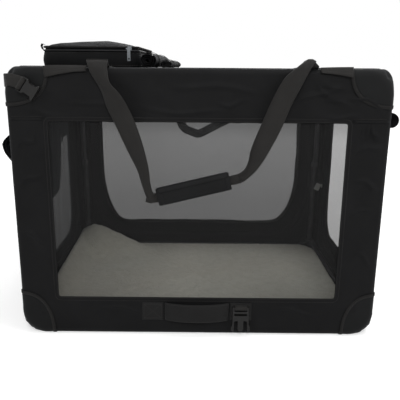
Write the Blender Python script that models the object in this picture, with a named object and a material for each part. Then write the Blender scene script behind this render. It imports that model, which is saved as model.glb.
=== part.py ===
"""Soft folding dog crate: a steel tube frame with folding corner legs inside a black fabric cover.

Everything is in metres. X runs along the length, Y from the front to the rear, Z up, and the
origin is the middle of the underside. The front has a fixed mesh window, the rear and the two
ends have mesh doors hinged along their upper edge, and the roof has an opening whose door is
rolled up beside the storage bag.
"""

from math import asin, copysign, cos, hypot, pi, radians, sin

import bmesh
import bpy
from mathutils import Matrix, Vector

# Overall size of the crate without what hangs on it or lies on top.
LENGTH = 0.700
DEPTH = 0.520
HEIGHT = 0.520

# Clearances.
SEAT = 0.0003
SEAM_HALF = 0.0002
CUT_OVERRUN = 0.002

# Edges at a larger angle than this stay sharp in a smooth piece.
SHARP_FROM = radians(35)

# Cloth.
CLOTH = 0.002
MESH_CLOTH = 0.0008
MESH_LAP = 0.006
WEBBING = 0.0015

# Steel tube rings at the base and at the roof.
TUBE_RADIUS = 0.008
TUBE_WALL = 0.001
TUBE_ROOM = 0.0006
TUBE_START = 0.060
TUBE_SIDES = 12

# The cover's rounding: along its edges, and larger at its eight corners.
EDGE_RADIUS = CLOTH + TUBE_ROOM + TUBE_RADIUS
CORNER_RADIUS = 0.030
CORNER_REACH = 0.048
RING_INSET = EDGE_RADIUS

# Moulded corner connectors.
HUB_INSET = 0.024
HUB_HALF = 0.009
ARM_HALF = 0.0060
SPIGOT_HALF = 0.0045
SPIGOT_LENGTH = 0.022
LUG_THICKNESS = 0.007

# Folding corner legs: two halves side by side with a knee, and their rivets.
LEG_RADIUS = 0.0065
LEG_WALL = 0.001
LEG_SIDES = 10
LEG_INSET_X = 0.028
LEG_INSET_Y = 0.026
LEG_STEP = 2 * LEG_RADIUS + 0.0005
PIVOT_HEIGHT = 0.042
EYE_RADIUS = 0.0075
EYE_THICKNESS = 0.007
LEG_TUBE_START = 0.010
EYE_STEPS = 8
FLAT_HALF = 0.0060
FLAT_END = 0.022
PIN_RADIUS = 0.003
PIN_ROOM = 0.0003
PIN_HEAD_RADIUS = 0.005
PIN_HEAD = 0.0015
SPACER_RADIUS = 0.0055
PIN_SIDES = 8

# Front window.
FRONT_WINDOW_LEFT = 0.075 - LENGTH / 2
FRONT_WINDOW_RIGHT = LENGTH / 2 - 0.080
FRONT_WINDOW_LOW = 0.080
FRONT_WINDOW_HIGH = HEIGHT - 0.095
FRONT_WINDOW_CORNER = 0.004

# Doors of the rear and the ends, each hinged along its upper edge.
HINGE_HEIGHT = HEIGHT - 0.075
DOOR_LOW = 0.045
DOOR_EDGE_INSET = 0.034
DOOR_GAP = 0.001
DOOR_WINDOW_LOW = 0.085
DOOR_WINDOW_HIGH = HINGE_HEIGHT - 0.025
REAR_WINDOW_HALF = LENGTH / 2 - 0.075
REAR_WINDOW_CORNER = (0.067, 0.140)
REAR_DOOR_CORNER = (0.100, 0.180)
END_WINDOW_HALF = DEPTH / 2 - 0.100
END_WINDOW_CORNER = (0.055, 0.060)
END_DOOR_CORNER = (0.090, 0.100)
ZIP_WIDTH = 0.008
ZIP_THICKNESS = 0.0015

# Roof opening.
ROOF_OPENING_LEFT = -0.045
ROOF_OPENING_RIGHT = LENGTH / 2 - 0.065
ROOF_OPENING_HALF = DEPTH / 2 - 0.070
ROOF_OPENING_CORNER = 0.060

# Fleece mat on the floor, between the tubes of the base ring.
MAT_INSET = RING_INSET + TUBE_RADIUS + 0.0010
MAT_CORNER = 0.050
MAT_THICKNESS = 0.0190
MAT_EDGE = 0.006
MAT_CROWN = 0.0012
MAT_INSETS = (0.014, 0.029, 0.044, 0.064, 0.084, 0.114, 0.152)

# The mat is pushed up along the left end and bunched in the rear left corner. Its rise starts in
# from the front and rear edges, where the legs fold. The hump's rows are a distance in from the
# left edge and a height.
MAT_RISE_FROM = 0.0354
MAT_RISE_OVER = 0.030
MAT_CLIMB_WIDTH = 0.065
MAT_CLIMB_FRONT = 0.0300
MAT_CLIMB_REAR = 0.0680
MAT_HUMP_IN = 0.065
MAT_HUMP_WIDTH = 0.110
MAT_HUMP = ((0.0, 0.055), (0.016, 0.068), (0.036, 0.075), (0.061, 0.071), (0.083, 0.060), (0.116, 0.045),
            (0.144, 0.031), (0.200, 0.0))

# Rolled covers. Each section is a loop of shares of its reach outwards and its height.
ROLL_GAP = 0.0005
ROLL_SIDES = 10
ROOF_ROLL_SIDES = 12
ROLL_TOP = HINGE_HEIGHT - 0.004
ROLL_END_INSET = 0.006
ROLL_END_SHARE = 0.72
RIGHT_ROLL_SIZE = (0.030, 0.031)
LEFT_ROLL_SIZE = (0.030, 0.108)
REAR_ROLL_SIZE = (0.028, 0.074)
ROLL_SIDE_INSET = 0.040
DROOP_SHARES = ((0.0, 0.96), (0.30, 1.0), (0.62, 0.86), (0.88, 0.62), (1.0, 0.40), (0.90, 0.16),
                (0.58, 0.0), (0.22, 0.04), (0.02, 0.24), (0.0, 0.60))

# Roof door and its cover, rolled up on the roof.
ROOF_ROLL_FRONT = 0.045
ROOF_ROLL_REAR = 0.060
COVER_ROLL_X = -0.0975
COVER_ROLL_SIZE = (0.036, 0.026)
MESH_ROLL_X = -0.0640
MESH_ROLL_SIZE = (0.027, 0.016)

# Storage bag on the roof.
BAG_LEFT = -0.302
BAG_RIGHT = -0.122
BAG_FRONT = 0.095 - DEPTH / 2
BAG_REAR = DEPTH / 2 - 0.135
BAG_HEIGHT = 0.036
BAG_CORNER = 0.018
BAG_FLARE = 0.003
LID_RISE = 0.017
LID_INSET_SHARES = (0.0, 0.12, 0.36, 0.70)
LID_RISE_SHARES = (0.0, 0.46, 0.80, 0.97)
BAG_CORNER_POINTS = 4

# Shoulder strap: 38 mm webbing from two sewn anchors, through a wrapped pad.
STRAP_HALF = 0.019
STRAP_AXIS_OUT = 0.004
STRAP_AXIS_RISE = 0.0145
STRAP_START = 0.0011
STRAP_DROP = 0.0026
STRAP_LEVEL_OVER = 0.060
STRAP_STEPS = 5  # short lengths of webbing from one place of the route to the next, which its twists need
ANCHOR_END = 0.0008
ANCHOR_FLAT = 0.004
ANCHOR_LEFT = -0.180
ANCHOR_RIGHT = 0.194
ANCHOR_LENGTH = 0.045
PAD_LEFT = (-0.0765, HEIGHT - 0.2335)
PAD_RIGHT = (0.0580, HEIGHT - 0.2005)
PAD_HALF = 0.0170
PAD_THICKNESS = 0.015
PAD_OUT = 0.0100
PAD_BORE_HALF = 0.0117
PAD_BORE_THICKNESS = 0.0027
PAD_SECTION_SHARES = ((0.62, 1.0), (0.92, 0.72), (1.0, 0.0), (0.92, -0.72), (0.62, -1.0), (0.0, -1.08),
                      (-0.62, -1.0), (-0.92, -0.72), (-1.0, 0.0), (-0.92, 0.72), (-0.62, 1.0), (0.0, 1.08))
PAD_LENGTH_SHARES = (0.0, 0.05, 0.30, 0.70, 0.95, 1.0)
PAD_WIDTH_SHARES = (0.90, 1.0, 0.96, 0.96, 1.0, 0.90)

# Each row of the strap's route: x, distance in front of the crate, drop from the roof, half width
# and the turn of the webbing about its own length, in degrees.
STRAP_ROUTE = (
    (-0.1790, 0.0090, -0.0070, 0.0190, 0), (-0.1750, 0.0145, 0.0030, 0.0190, 0),
    (-0.1640, 0.0155, 0.0270, 0.0190, 6), (-0.1480, 0.0150, 0.0620, 0.0190, 8),
    (-0.1320, 0.0140, 0.0980, 0.0180, 14), (-0.1150, 0.0135, 0.1430, 0.0170, 24),
    (-0.1030, 0.0130, 0.1780, 0.0150, 36), (-0.0985, 0.0130, 0.2000, 0.0125, 38),
    (-0.0965, 0.0125, 0.2135, 0.0100, 30), (-0.0935, 0.0118, 0.2245, 0.0092, 16),
    (-0.0880, 0.0108, 0.2320, 0.0090, 4), (-0.0800, 0.0100, 0.2344, 0.0100, 0),
    (0.0625, 0.0100, 0.1994, 0.0105, 0), (0.0760, 0.0110, 0.1950, 0.0105, -20),
    (0.0870, 0.0125, 0.1860, 0.0110, -40), (0.0980, 0.0135, 0.1700, 0.0130, -34),
    (0.1090, 0.0140, 0.1430, 0.0165, -20), (0.1275, 0.0145, 0.1000, 0.0175, -10),
    (0.1440, 0.0155, 0.0560, 0.0170, -10), (0.1640, 0.0160, 0.0210, 0.0170, -10),
    (0.1820, 0.0145, 0.0010, 0.0180, -6), (0.1910, 0.0090, -0.0075, 0.0190, 0),
)

# Carry handle on the front's lower band.
HANDLE_LEFT = -0.0650
HANDLE_RIGHT = 0.0605
HANDLE_LOW = 0.032
HANDLE_HIGH = 0.070
HANDLE_BOW = 0.018
HANDLE_THICKNESS = 0.003
HANDLE_AXIS_OUT = 0.0022
HANDLE_AXIS_RISE = 0.0005
HANDLE_STEPS = 10
HANDLE_BOW_POWER = 0.75
HANDLE_PATCH_LENGTH = 0.043
HANDLE_PATCH = 0.0012

# Side release buckles and the webbing that carries them. The corner webbing's rows are distances in
# from the left end and from the front, and the drop from the roof.
BUCKLE_WEB_HALF = 0.0118
BUCKLE_BAR_HALF = 0.002
WEB_LOOP_RADIUS = 0.0041
HOOK_SHARES = ((0.75, -0.2), (1.0, 0.0), (0.75, 0.75), (-0.75, 1.0))
FEMALE_WEB_ANGLES = (205, 150, 110, 70, 30, 0)
MALE_X = 0.0850
MALE_HALF = 0.0190
MALE_LENGTH = 0.054
MALE_THICKNESS = 0.004
MALE_BAR_OUT = 0.0078
MALE_BAR_HEIGHT = 0.0620
MALE_TAIL = 0.017
MALE_OUTLINE_SHARES = ((0.80, 0.0), (0.84, 0.06), (0.84, 0.48), (0.86, 0.70), (1.0, 0.80), (0.98, 0.92),
                       (0.84, 1.0), (0.70, 0.92), (0.68, 0.78), (0.66, 0.56), (0.30, 0.54), (0.30, 0.86),
                       (0.20, 0.95), (0.0, 0.97))
MALE_SLOT_HALF = 0.0126
MALE_SLOTS = ((0.002, 0.0075), (0.0115, 0.0165))
FEMALE_BAR = (0.035 - LENGTH / 2, HEIGHT - 0.0285)
FEMALE_SLOPE = radians(-35)
FEMALE_BAR_OUT = 0.0096
FEMALE_HALF = 0.0145
FEMALE_LENGTH = 0.031
FEMALE_THICKNESS = 0.009
FEMALE_OUTLINE_SHARES = ((-0.075, 0.93), (0.25, 0.93), (0.33, 0.82), (0.38, 0.66), (0.78, 0.66),
                         (0.84, 0.82), (0.90, 1.0), (1.0, 1.0))
FEMALE_SLOT_HALF = 0.0123
FEMALE_SLOT = (0.0021, 0.0062)
FEMALE_CAVITY_HALF = 0.0102
FEMALE_CAVITY_THICKNESS = 0.0052
FEMALE_CAVITY_START = 0.0095
CORNER_WEB_LIFT = 0.0036
CORNER_WEB_ROUTE = ((0.0, 0.0650, 0.0235), (0.0, 0.0350, 0.0235), (0.0, 0.0200, 0.0235), (0.0, 0.0100, 0.0235),
                    (0.0, 0.0, 0.0235), (0.0070, 0.0, 0.0230), (0.0160, 0.0, 0.0225))

# Zip sliders and their pull tabs.
SLIDER_WIDTH = 0.009
SLIDER_LENGTH = 0.011
SLIDER_THICKNESS = 0.0030
PULL_WIDTH = 0.006
PULL_LENGTH = 0.024
PULL_THICKNESS = 0.0012
PULL_HOLE_RADIUS = 0.0016
PULL_HOLE_DROP = 0.020
REAR_SLIDER_HEIGHT = 0.260
LEFT_SLIDER_HEIGHT = 0.200
RIGHT_SLIDER_HEIGHT = 0.196
BAG_SLIDER_X = -0.137
BAG_SLIDER_GAP = 0.0008

# How finely the panels' outlines are drawn: distances from both ends of each side, and shares.
SIDE_ENDS = (0.020, 0.034, 0.048)
SIDE_SHARES = (0.30, 0.50, 0.70)

HALF = Vector((LENGTH / 2, DEPTH / 2, HEIGHT / 2))
CENTRE = Vector((0, 0, HEIGHT / 2))
LEG_HALF_LENGTH = HEIGHT / 2 - PIVOT_HEIGHT
FRONT_Y = -DEPTH / 2
REAR_Y = DEPTH / 2

# Colour, roughness and metallic value of each finish.
FINISHES = {
    "polyester": ((0.018, 0.018, 0.019, 1), 0.85, 0),
    "mesh": ((0.050, 0.050, 0.054, 1), 0.90, 0),
    "webbing": ((0.026, 0.024, 0.022, 1), 0.80, 0),
    "fleece": ((0.420, 0.410, 0.380, 1), 0.95, 0),
    "plastic": ((0.020, 0.020, 0.021, 1), 0.45, 0),
    "coated_steel": ((0.030, 0.030, 0.032, 1), 0.40, 0),
    "zinc": ((0.550, 0.560, 0.580, 1), 0.30, 1),
}


def material(name, finish):
    """A Principled material with one of the finishes above."""
    colour, roughness, metallic = FINISHES[finish]
    made = bpy.data.materials.new(name)
    made.use_nodes = True
    shader = made.node_tree.nodes["Principled BSDF"]
    shader.inputs["Base Color"].default_value = colour
    shader.inputs["Roughness"].default_value = roughness
    shader.inputs["Metallic"].default_value = metallic
    made.diffuse_color = colour
    return made


def finish(bm, name, look, pivot=(0, 0, 0), smooth=False):
    """Turns a bmesh in world coordinates into a named object with its origin at the pivot."""
    bmesh.ops.recalc_face_normals(bm, faces=bm.faces)
    bmesh.ops.translate(bm, verts=bm.verts, vec=-Vector(pivot))
    mesh = bpy.data.meshes.new(name)
    bm.to_mesh(mesh)
    bm.free()
    if smooth:
        mesh.shade_smooth()
        mesh.set_sharp_from_angle(angle=SHARP_FROM)
    mesh.materials.append(material(name, look))
    made = bpy.data.objects.new(name, mesh)
    made.location = pivot
    bpy.context.collection.objects.link(made)
    return made


def skin(bm, loops):
    """Joins loops of points of the same count into a tube of quads, with its two ends filled."""
    rings = [[bm.verts.new(p) for p in loop] for loop in loops]
    count = len(rings[0])
    for near, far in zip(rings, rings[1:]):
        for i in range(count):
            j = (i + 1) % count
            bm.faces.new((near[i], near[j], far[j], far[i]))
    bm.faces.new(rings[0])
    bm.faces.new(rings[-1])


def ring_skin(bm, loops):
    """Joins loops of points into a closed ring: the last loop is joined back to the first."""
    rings = [[bm.verts.new(p) for p in loop] for loop in loops]
    count = len(rings[0])
    for near, far in zip(rings, rings[1:] + rings[:1]):
        for i in range(count):
            j = (i + 1) % count
            bm.faces.new((near[i], near[j], far[j], far[i]))


def box(bm, low, high):
    """An axis-aligned block between two corners."""
    low, high = Vector(low), Vector(high)
    made = bmesh.ops.create_cube(bm, size=1)["verts"]
    bmesh.ops.scale(bm, vec=high - low, verts=made)
    bmesh.ops.translate(bm, vec=(low + high) / 2, verts=made)


def circle(radius, sides):
    """Points of a regular polygon with flat sides towards the axes."""
    turn = pi / sides
    return [(radius * cos(2 * pi * i / sides + turn), radius * sin(2 * pi * i / sides + turn))
            for i in range(sides)]


def across(axis):
    """Two unit vectors at right angles to an axis and to each other."""
    axis = axis.normalized()
    side = axis.cross(Vector((0, 0, 1)) if abs(axis.z) < abs(axis.x) + abs(axis.y) else Vector((1, 0, 0)))
    side.normalize()
    return side, axis.cross(side)


def hollow_tube(bm, start, end, radius, wall, sides):
    """An open tube between two points."""
    start, end = Vector(start), Vector(end)
    side, up = across(end - start)
    outer, inner = circle(radius, sides), circle(radius - wall, sides)

    def loop(shape, at):
        return [at + side * a + up * b for a, b in shape]

    ring_skin(bm, (loop(outer, start), loop(outer, end), loop(inner, end), loop(inner, start)))


def lathe(bm, axis_point, axis, profile, sides):
    """A turned solid: the profile's rows are a distance along the axis and a radius."""
    axis_point, axis = Vector(axis_point), Vector(axis)
    side, up = across(axis)
    loops = []
    for along, radius in profile:
        loops.append([axis_point + axis * along + side * a + up * b for a, b in circle(radius, sides)])
    skin(bm, loops)


def flat_solid(outline, holes, thickness, place):
    """A flat plate from an outline and its holes, centred on its plane and moved by a matrix."""
    part = bmesh.new()
    edges = []
    for loop in [outline, *holes]:
        verts = [part.verts.new((a, b, -thickness / 2)) for a, b in loop]
        edges += [part.edges.new((verts[i - 1], verts[i])) for i in range(len(verts))]
    bmesh.ops.triangle_fill(part, use_beauty=True, edges=edges)
    raised = bmesh.ops.extrude_face_region(part, geom=list(part.faces))["geom"]
    moved = [item for item in raised if isinstance(item, bmesh.types.BMVert)]
    bmesh.ops.translate(part, verts=moved, vec=(0, 0, thickness))
    bmesh.ops.transform(part, matrix=place, verts=part.verts)
    return part


def ribbon(bm, centres, sides, faces, thickness):
    """Webbing: at each centre the half width vector and the unit vector out of its face."""
    loops = []
    for centre, side, face in zip(centres, sides, faces):
        half = face * (thickness / 2)
        loops.append([centre - side - half, centre + side - half, centre + side + half, centre - side + half])
    skin(bm, loops)


def divided(vectors, steps):
    """More vectors between the given ones, evenly spaced."""
    pairs = zip(vectors, vectors[1:])
    return [near.lerp(far, k / steps) for near, far in pairs for k in range(steps)] + [vectors[-1]]


def combine(base_bm, tool_bm, operation):
    """Joins a closed shape to another one or takes it out of it, and gives back the result."""
    pair = []
    for bm in (base_bm, tool_bm):
        bmesh.ops.recalc_face_normals(bm, faces=bm.faces)
        mesh = bpy.data.meshes.new("shape")
        bm.to_mesh(mesh)
        bm.free()
        pair.append(bpy.data.objects.new("shape", mesh))
        bpy.context.collection.objects.link(pair[-1])
    base, tool = pair
    modifier = base.modifiers.new("combine", "BOOLEAN")
    modifier.object = tool
    modifier.operation = operation
    modifier.solver = "EXACT"
    bpy.context.view_layer.update()
    evaluated = base.evaluated_get(bpy.context.evaluated_depsgraph_get())
    result = bmesh.new()
    result.from_mesh(evaluated.to_mesh())
    evaluated.to_mesh_clear()
    for made in pair:
        bpy.data.objects.remove(made)
    return result


def corner_radius(point):
    """The cover's rounding near a point of the sharp box: larger close to a corner."""
    reach = max(HALF[i] - abs(point[i] - CENTRE[i]) for i in range(3))
    near = min(max(1 - reach / CORNER_REACH, 0), 1)
    return EDGE_RADIUS + (CORNER_RADIUS - EDGE_RADIUS) * near * near * (3 - 2 * near)


def on_cover(point, depth):
    """A point of the sharp box moved onto the rounded cover, at a depth under its surface."""
    radius = corner_radius(point)
    core = Vector([min(max(point[i], CENTRE[i] - HALF[i] + radius), CENTRE[i] + HALF[i] - radius)
                   for i in range(3)])
    return core + (Vector(point) - core).normalized() * (radius - depth)


def cover_normal(point):
    """The direction out of the cover at a point of the sharp box."""
    return (on_cover(point, -SEAT) - on_cover(point, 0)).normalized()


def side_places(length):
    """Where a side is divided: closely near its two corners, where the cover's rounding changes."""
    return [0, *SIDE_ENDS, *(length * share for share in SIDE_SHARES), *(length - end for end in SIDE_ENDS[::-1])]


def rectangle(left, right, low, high):
    """Points round a rectangle, anticlockwise from its low left corner."""
    across_places, up_places = side_places(right - left), side_places(high - low)
    return ([(left + along, low) for along in across_places] + [(right, low + along) for along in up_places]
            + [(right - along, high) for along in across_places] + [(left, high - along) for along in up_places])


def rounded(points, left, right, low, high, corner, rounded_top):
    """The same points with the corners of their rectangle turned round."""
    wide, tall = corner
    moved = []
    for u, v in points:
        a = max((left + wide - u) / wide, (u - right + wide) / wide, 0)
        b = max((low + tall - v) / tall, (v - high + tall) / tall if rounded_top else 0, 0)
        if a > 0 and b > 0:
            scale = max(a, b) / hypot(a, b)
            u = left + wide * (1 - a * scale) if u < (left + right) / 2 else right - wide * (1 - a * scale)
            v = low + tall * (1 - b * scale) if v < (low + high) / 2 else high - tall * (1 - b * scale)
        moved.append((u, v))
    return moved


def outline(left, right, low, high, corner, rounded_top=False):
    return rounded(rectangle(left, right, low, high), left, right, low, high, corner, rounded_top)


def front_point(u, v):
    return Vector((u, FRONT_Y, v))


def rear_point(u, v):
    return Vector((u, REAR_Y, v))


def left_point(u, v):
    return Vector((-LENGTH / 2, u, v))


def right_point(u, v):
    return Vector((LENGTH / 2, u, v))


def roof_point(u, v):
    return Vector((u, v, HEIGHT))


def base_point(u, v):
    return Vector((u, v, 0))


def edge_loops(point, half_u, low, high, depth):
    """The loops of a panel round its rounded edge, from its seam to where it is flat."""
    loops = []
    for inset in (SEAM_HALF, EDGE_RADIUS, CORNER_RADIUS):
        loop = rectangle(-half_u + inset, half_u - inset, low + inset, high - inset)
        loops.append([on_cover(point(u, v), depth) for u, v in loop])
    return loops


def cover_panel(name, point, half_u, low, high, opening):
    """One side of the cover: cloth with rounded edges and, if it has one, an opening."""
    bm = bmesh.new()
    outer = edge_loops(point, half_u, low, high, 0)
    inner = edge_loops(point, half_u, low, high, CLOTH)
    if opening:
        outer.append([on_cover(point(u, v), 0) for u, v in opening])
        inner.append([on_cover(point(u, v), CLOTH) for u, v in opening])
        ring_skin(bm, outer + inner[::-1])
    else:
        skin(bm, outer[::-1] + inner)
    return finish(bm, name, "polyester")


def cloth_sheet(name, point, shape, depth, thickness, look, pivot=(0, 0, 0)):
    """A flat sheet of cloth with the given outline, at a depth under the cover's face."""
    bm = bmesh.new()
    skin(bm, [[on_cover(point(u, v), depth) for u, v in shape],
              [on_cover(point(u, v), depth + thickness) for u, v in shape]])
    return finish(bm, name, look, pivot)


def grown(left, right, low, high, corner, by):
    """An outline grown on all sides by a margin."""
    wide, tall = corner
    return outline(left - by, right + by, low - by, high + by, (wide + by, tall + by))


def front_wall():
    sides = (FRONT_WINDOW_LEFT, FRONT_WINDOW_RIGHT, FRONT_WINDOW_LOW, FRONT_WINDOW_HIGH)
    corner = (FRONT_WINDOW_CORNER, FRONT_WINDOW_CORNER)
    cover_panel("front_wall", front_point, LENGTH / 2, 0, HEIGHT, outline(*sides, corner, True))
    cloth_sheet("front_window_mesh", front_point, grown(*sides, corner, MESH_LAP),
                CLOTH + SEAT, MESH_CLOTH, "mesh")


def door_sides(wall_half):
    half = wall_half - DOOR_EDGE_INSET
    return -half, half, DOOR_LOW, HINGE_HEIGHT


def grown_sides(sides):
    """The sides of a wall's opening round its door."""
    left, right, low, high = sides
    return left - DOOR_GAP, right + DOOR_GAP, low - DOOR_GAP, high + DOOR_GAP


def walls():
    rear = outline(*grown_sides(door_sides(LENGTH / 2)), REAR_DOOR_CORNER)
    cover_panel("rear_wall", rear_point, LENGTH / 2, 0, HEIGHT, rear)
    end = outline(*grown_sides(door_sides(DEPTH / 2)), END_DOOR_CORNER)
    cover_panel("left_wall", left_point, DEPTH / 2, 0, HEIGHT, end)
    cover_panel("right_wall", right_point, DEPTH / 2, 0, HEIGHT, end)


def roof_and_base():
    half_u, half_v = LENGTH / 2, DEPTH / 2
    wide = ROOF_OPENING_CORNER
    opening = []
    for u, v in rectangle(ROOF_OPENING_LEFT, ROOF_OPENING_RIGHT, -ROOF_OPENING_HALF, ROOF_OPENING_HALF):
        a = max((u - ROOF_OPENING_RIGHT + wide) / wide, 0)
        b = max((abs(v) - ROOF_OPENING_HALF + wide) / wide, 0)
        if a > 0 and b > 0:
            scale = max(a, b) / hypot(a, b)
            u = ROOF_OPENING_RIGHT - wide * (1 - a * scale)
            side = 1 if v > 0 else -1
            v = side * (ROOF_OPENING_HALF - wide * (1 - b * scale))
        opening.append((u, v))
    cover_panel("roof_panel", roof_point, half_u, -half_v, half_v, opening)
    cover_panel("base_panel", base_point, half_u, -half_v, half_v, None)


def door(name, point, wall_half, window_half, window_corner, door_corner):
    """A mesh door: its cloth border with the zip on its edge, and the mesh sewn behind it."""
    pivot = point(0, HINGE_HEIGHT)
    left, right, low, high = door_sides(wall_half)
    top = high - SEAT
    half_zip = ZIP_WIDTH / 2
    wide, tall = door_corner
    border = outline(left, right, low, top, door_corner)
    zip_outer = outline(left - half_zip, right + half_zip, low - half_zip, top, (wide + half_zip, tall + half_zip))
    zip_inner = outline(left + half_zip, right - half_zip, low + half_zip, top - half_zip,
                        (wide - half_zip, tall - half_zip))
    window = (-window_half, window_half, DOOR_WINDOW_LOW, DOOR_WINDOW_HIGH)
    hole = outline(*window, window_corner)
    face = -SEAT - ZIP_THICKNESS
    loops = [[on_cover(point(u, v), depth) for u, v in shape]
             for shape, depth in ((hole, 0), (zip_inner, 0), (zip_inner, face), (zip_outer, face),
                                  (zip_outer, -SEAT), (border, -SEAT), (border, CLOTH), (hole, CLOTH))]
    bm = bmesh.new()
    ring_skin(bm, loops)
    finish(bm, name, "polyester", pivot)
    cloth_sheet(name + "_mesh", point, grown(*window, window_corner, MESH_LAP),
                CLOTH + SEAT, MESH_CLOTH, "mesh", pivot)


def doors():
    door("rear_door", rear_point, LENGTH / 2, REAR_WINDOW_HALF, REAR_WINDOW_CORNER, REAR_DOOR_CORNER)
    for name, point in (("left_door", left_point), ("right_door", right_point)):
        door(name, point, DEPTH / 2, END_WINDOW_HALF, END_WINDOW_CORNER, END_DOOR_CORNER)


def rolled_cover(name, point, wall_half, size, section_shares):
    """A door's weather cover rolled up and tied under the hinge line, outside the door."""
    reach, height = size
    half = wall_half - ROLL_SIDE_INSET
    out = cover_normal(point(0, HINGE_HEIGHT))
    middle_out = sum(a for a, _ in section_shares) / len(section_shares)
    middle_up = sum(b for _, b in section_shares) / len(section_shares)
    loops = []
    for along, share in ((-half, ROLL_END_SHARE), (-half + ROLL_END_INSET, 1),
                         (half - ROLL_END_INSET, 1), (half, ROLL_END_SHARE)):
        loop = []
        for a, b in section_shares:
            a = middle_out + (a - middle_out) * share
            b = middle_up + (b - middle_up) * share
            loop.append(point(along, ROLL_TOP - height * (1 - b)) + out * (ROLL_GAP + reach * a))
        loops.append(loop)
    bm = bmesh.new()
    skin(bm, loops)
    finish(bm, name, "polyester", point(0, HINGE_HEIGHT), smooth=True)


def round_shares(count):
    """A round section as shares of its own box."""
    return [(1 / 2 + a, 1 / 2 + b) for a, b in circle(1 / 2 / cos(pi / count), count)]


def rolled_covers():
    rolled_cover("rolled_left_cover", left_point, DEPTH / 2, LEFT_ROLL_SIZE, DROOP_SHARES)
    rolled_cover("rolled_right_cover", right_point, DEPTH / 2, RIGHT_ROLL_SIZE, round_shares(ROLL_SIDES))
    rolled_cover("rolled_rear_cover", rear_point, LENGTH / 2, REAR_ROLL_SIZE, DROOP_SHARES)


def roof_roll(name, x, size, look):
    """A roll lying on the roof along the depth, slightly flattened where it rests."""
    width, height = size
    shares = round_shares(ROOF_ROLL_SIDES)
    loops = []
    for y, share in ((FRONT_Y + ROOF_ROLL_FRONT, ROLL_END_SHARE),
                     (FRONT_Y + ROOF_ROLL_FRONT + ROLL_END_INSET, 1),
                     (REAR_Y - ROOF_ROLL_REAR - ROLL_END_INSET, 1), (REAR_Y - ROOF_ROLL_REAR, ROLL_END_SHARE)):
        loops.append([Vector((x + width * (a - 1 / 2) * share, y,
                              HEIGHT + SEAT + height * (1 / 2 + (b - 1 / 2) * share))) for a, b in shares])
    bm = bmesh.new()
    skin(bm, loops)
    finish(bm, name, look, smooth=True)


def ease(share):
    """A share from 0 to 1 that starts and ends gently."""
    share = min(max(share, 0), 1)
    return share * share * (3 - 2 * share)


def between(rows, place):
    """The height that a table's rows give at a place."""
    for (near, near_height), (far, far_height) in zip(rows, rows[1:]):
        if place <= far:
            return near_height + (far_height - near_height) * (place - near) / (far - near)
    return rows[-1][1]


def mat_rise(u, v):
    """How far the mat's top stands up where it is pushed against the left end."""
    half_u, half_v = LENGTH / 2 - MAT_INSET, DEPTH / 2 - MAT_INSET
    from_left, from_rear = half_u + u, half_v - v
    inside = ease((half_v - abs(v) - MAT_RISE_FROM) / MAT_RISE_OVER)
    climb = MAT_CLIMB_FRONT + (MAT_CLIMB_REAR - MAT_CLIMB_FRONT) * (half_v + v) / (2 * half_v)
    climb *= 1 - ease(from_left / MAT_CLIMB_WIDTH)
    hump = between(MAT_HUMP, max(from_left, 0)) * (1 - ease(abs(from_rear - MAT_HUMP_IN) / MAT_HUMP_WIDTH))
    return inside * max(climb, hump)


def fleece_mat():
    """The padded mat: drawn-in sides and a low crown, with rounded corners and a bunched end."""
    half_u, half_v = LENGTH / 2 - MAT_INSET, DEPTH / 2 - MAT_INSET
    low = CLOTH + SEAT
    high = low + MAT_THICKNESS
    rows = [(MAT_EDGE, low, 0), (0, low + MAT_THICKNESS / 2, 1 / 2), (MAT_EDGE, high - MAT_CROWN, 1)]
    rows += [(MAT_EDGE + inset, high, 1) for inset in MAT_INSETS]
    loops = []
    for inset, height, share in rows:
        corner = max(MAT_CORNER - inset, MAT_EDGE)
        shape = outline(-half_u + inset, half_u - inset, -half_v + inset, half_v - inset,
                        (corner, corner), True)
        loops.append([Vector((u, v, height + mat_rise(u, v) * share)) for u, v in shape])
    bm = bmesh.new()
    skin(bm, loops)
    finish(bm, "fleece_mat", "fleece", smooth=True)


def ring_tubes(prefix, z):
    """The four tubes of the base or roof ring, between its corner connectors."""
    x, y = LENGTH / 2 - RING_INSET, DEPTH / 2 - RING_INSET
    end_x, end_y = LENGTH / 2 - TUBE_START, DEPTH / 2 - TUBE_START
    for name, start, end in (("front", (-end_x, -y, z), (end_x, -y, z)), ("rear", (-end_x, y, z), (end_x, y, z)),
                             ("left", (-x, -end_y, z), (-x, end_y, z)), ("right", (x, -end_y, z), (x, end_y, z))):
        bm = bmesh.new()
        hollow_tube(bm, start, end, TUBE_RADIUS, TUBE_WALL, TUBE_SIDES)
        finish(bm, f"{prefix}_{name}_tube", "coated_steel", smooth=True)


def square(centre, axis, half_a, half_b):
    """Four points of a rectangle at right angles to a main axis, in one turning sense."""
    others = [Vector([1 if i == k else 0 for i in range(3)]) for k in range(3) if k != axis]
    return [centre + others[0] * (half_a * a) + others[1] * (half_b * b)
            for a, b in ((-1, -1), (1, -1), (1, 1), (-1, 1))]


def arm(bm, face, sections):
    """Draws an arm out of a face of the hub through rectangles given as loops of four points."""
    verts = list(face.verts)
    bm.faces.remove(face)
    for loop in sections:
        new = []
        for vert in verts:
            nearest = min(loop, key=lambda p: signs_apart(vert.co, verts, p, loop))
            new.append(bm.verts.new(nearest))
        for i in range(4):
            bm.faces.new((verts[i - 1], verts[i], new[i], new[i - 1]))
        verts = new
    bm.faces.new(verts)


def signs_apart(point, loop, other, other_loop):
    """How differently two points lie in their own loops, so that like corners are joined."""
    middle = sum((v.co for v in loop), Vector()) / 4
    other_middle = sum(other_loop, Vector()) / 4
    a, b = point - middle, other - other_middle
    return (a.normalized() - b.normalized()).length


def face_towards(bm, faces, direction):
    return max(faces, key=lambda f: f.normal.dot(direction))


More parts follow.
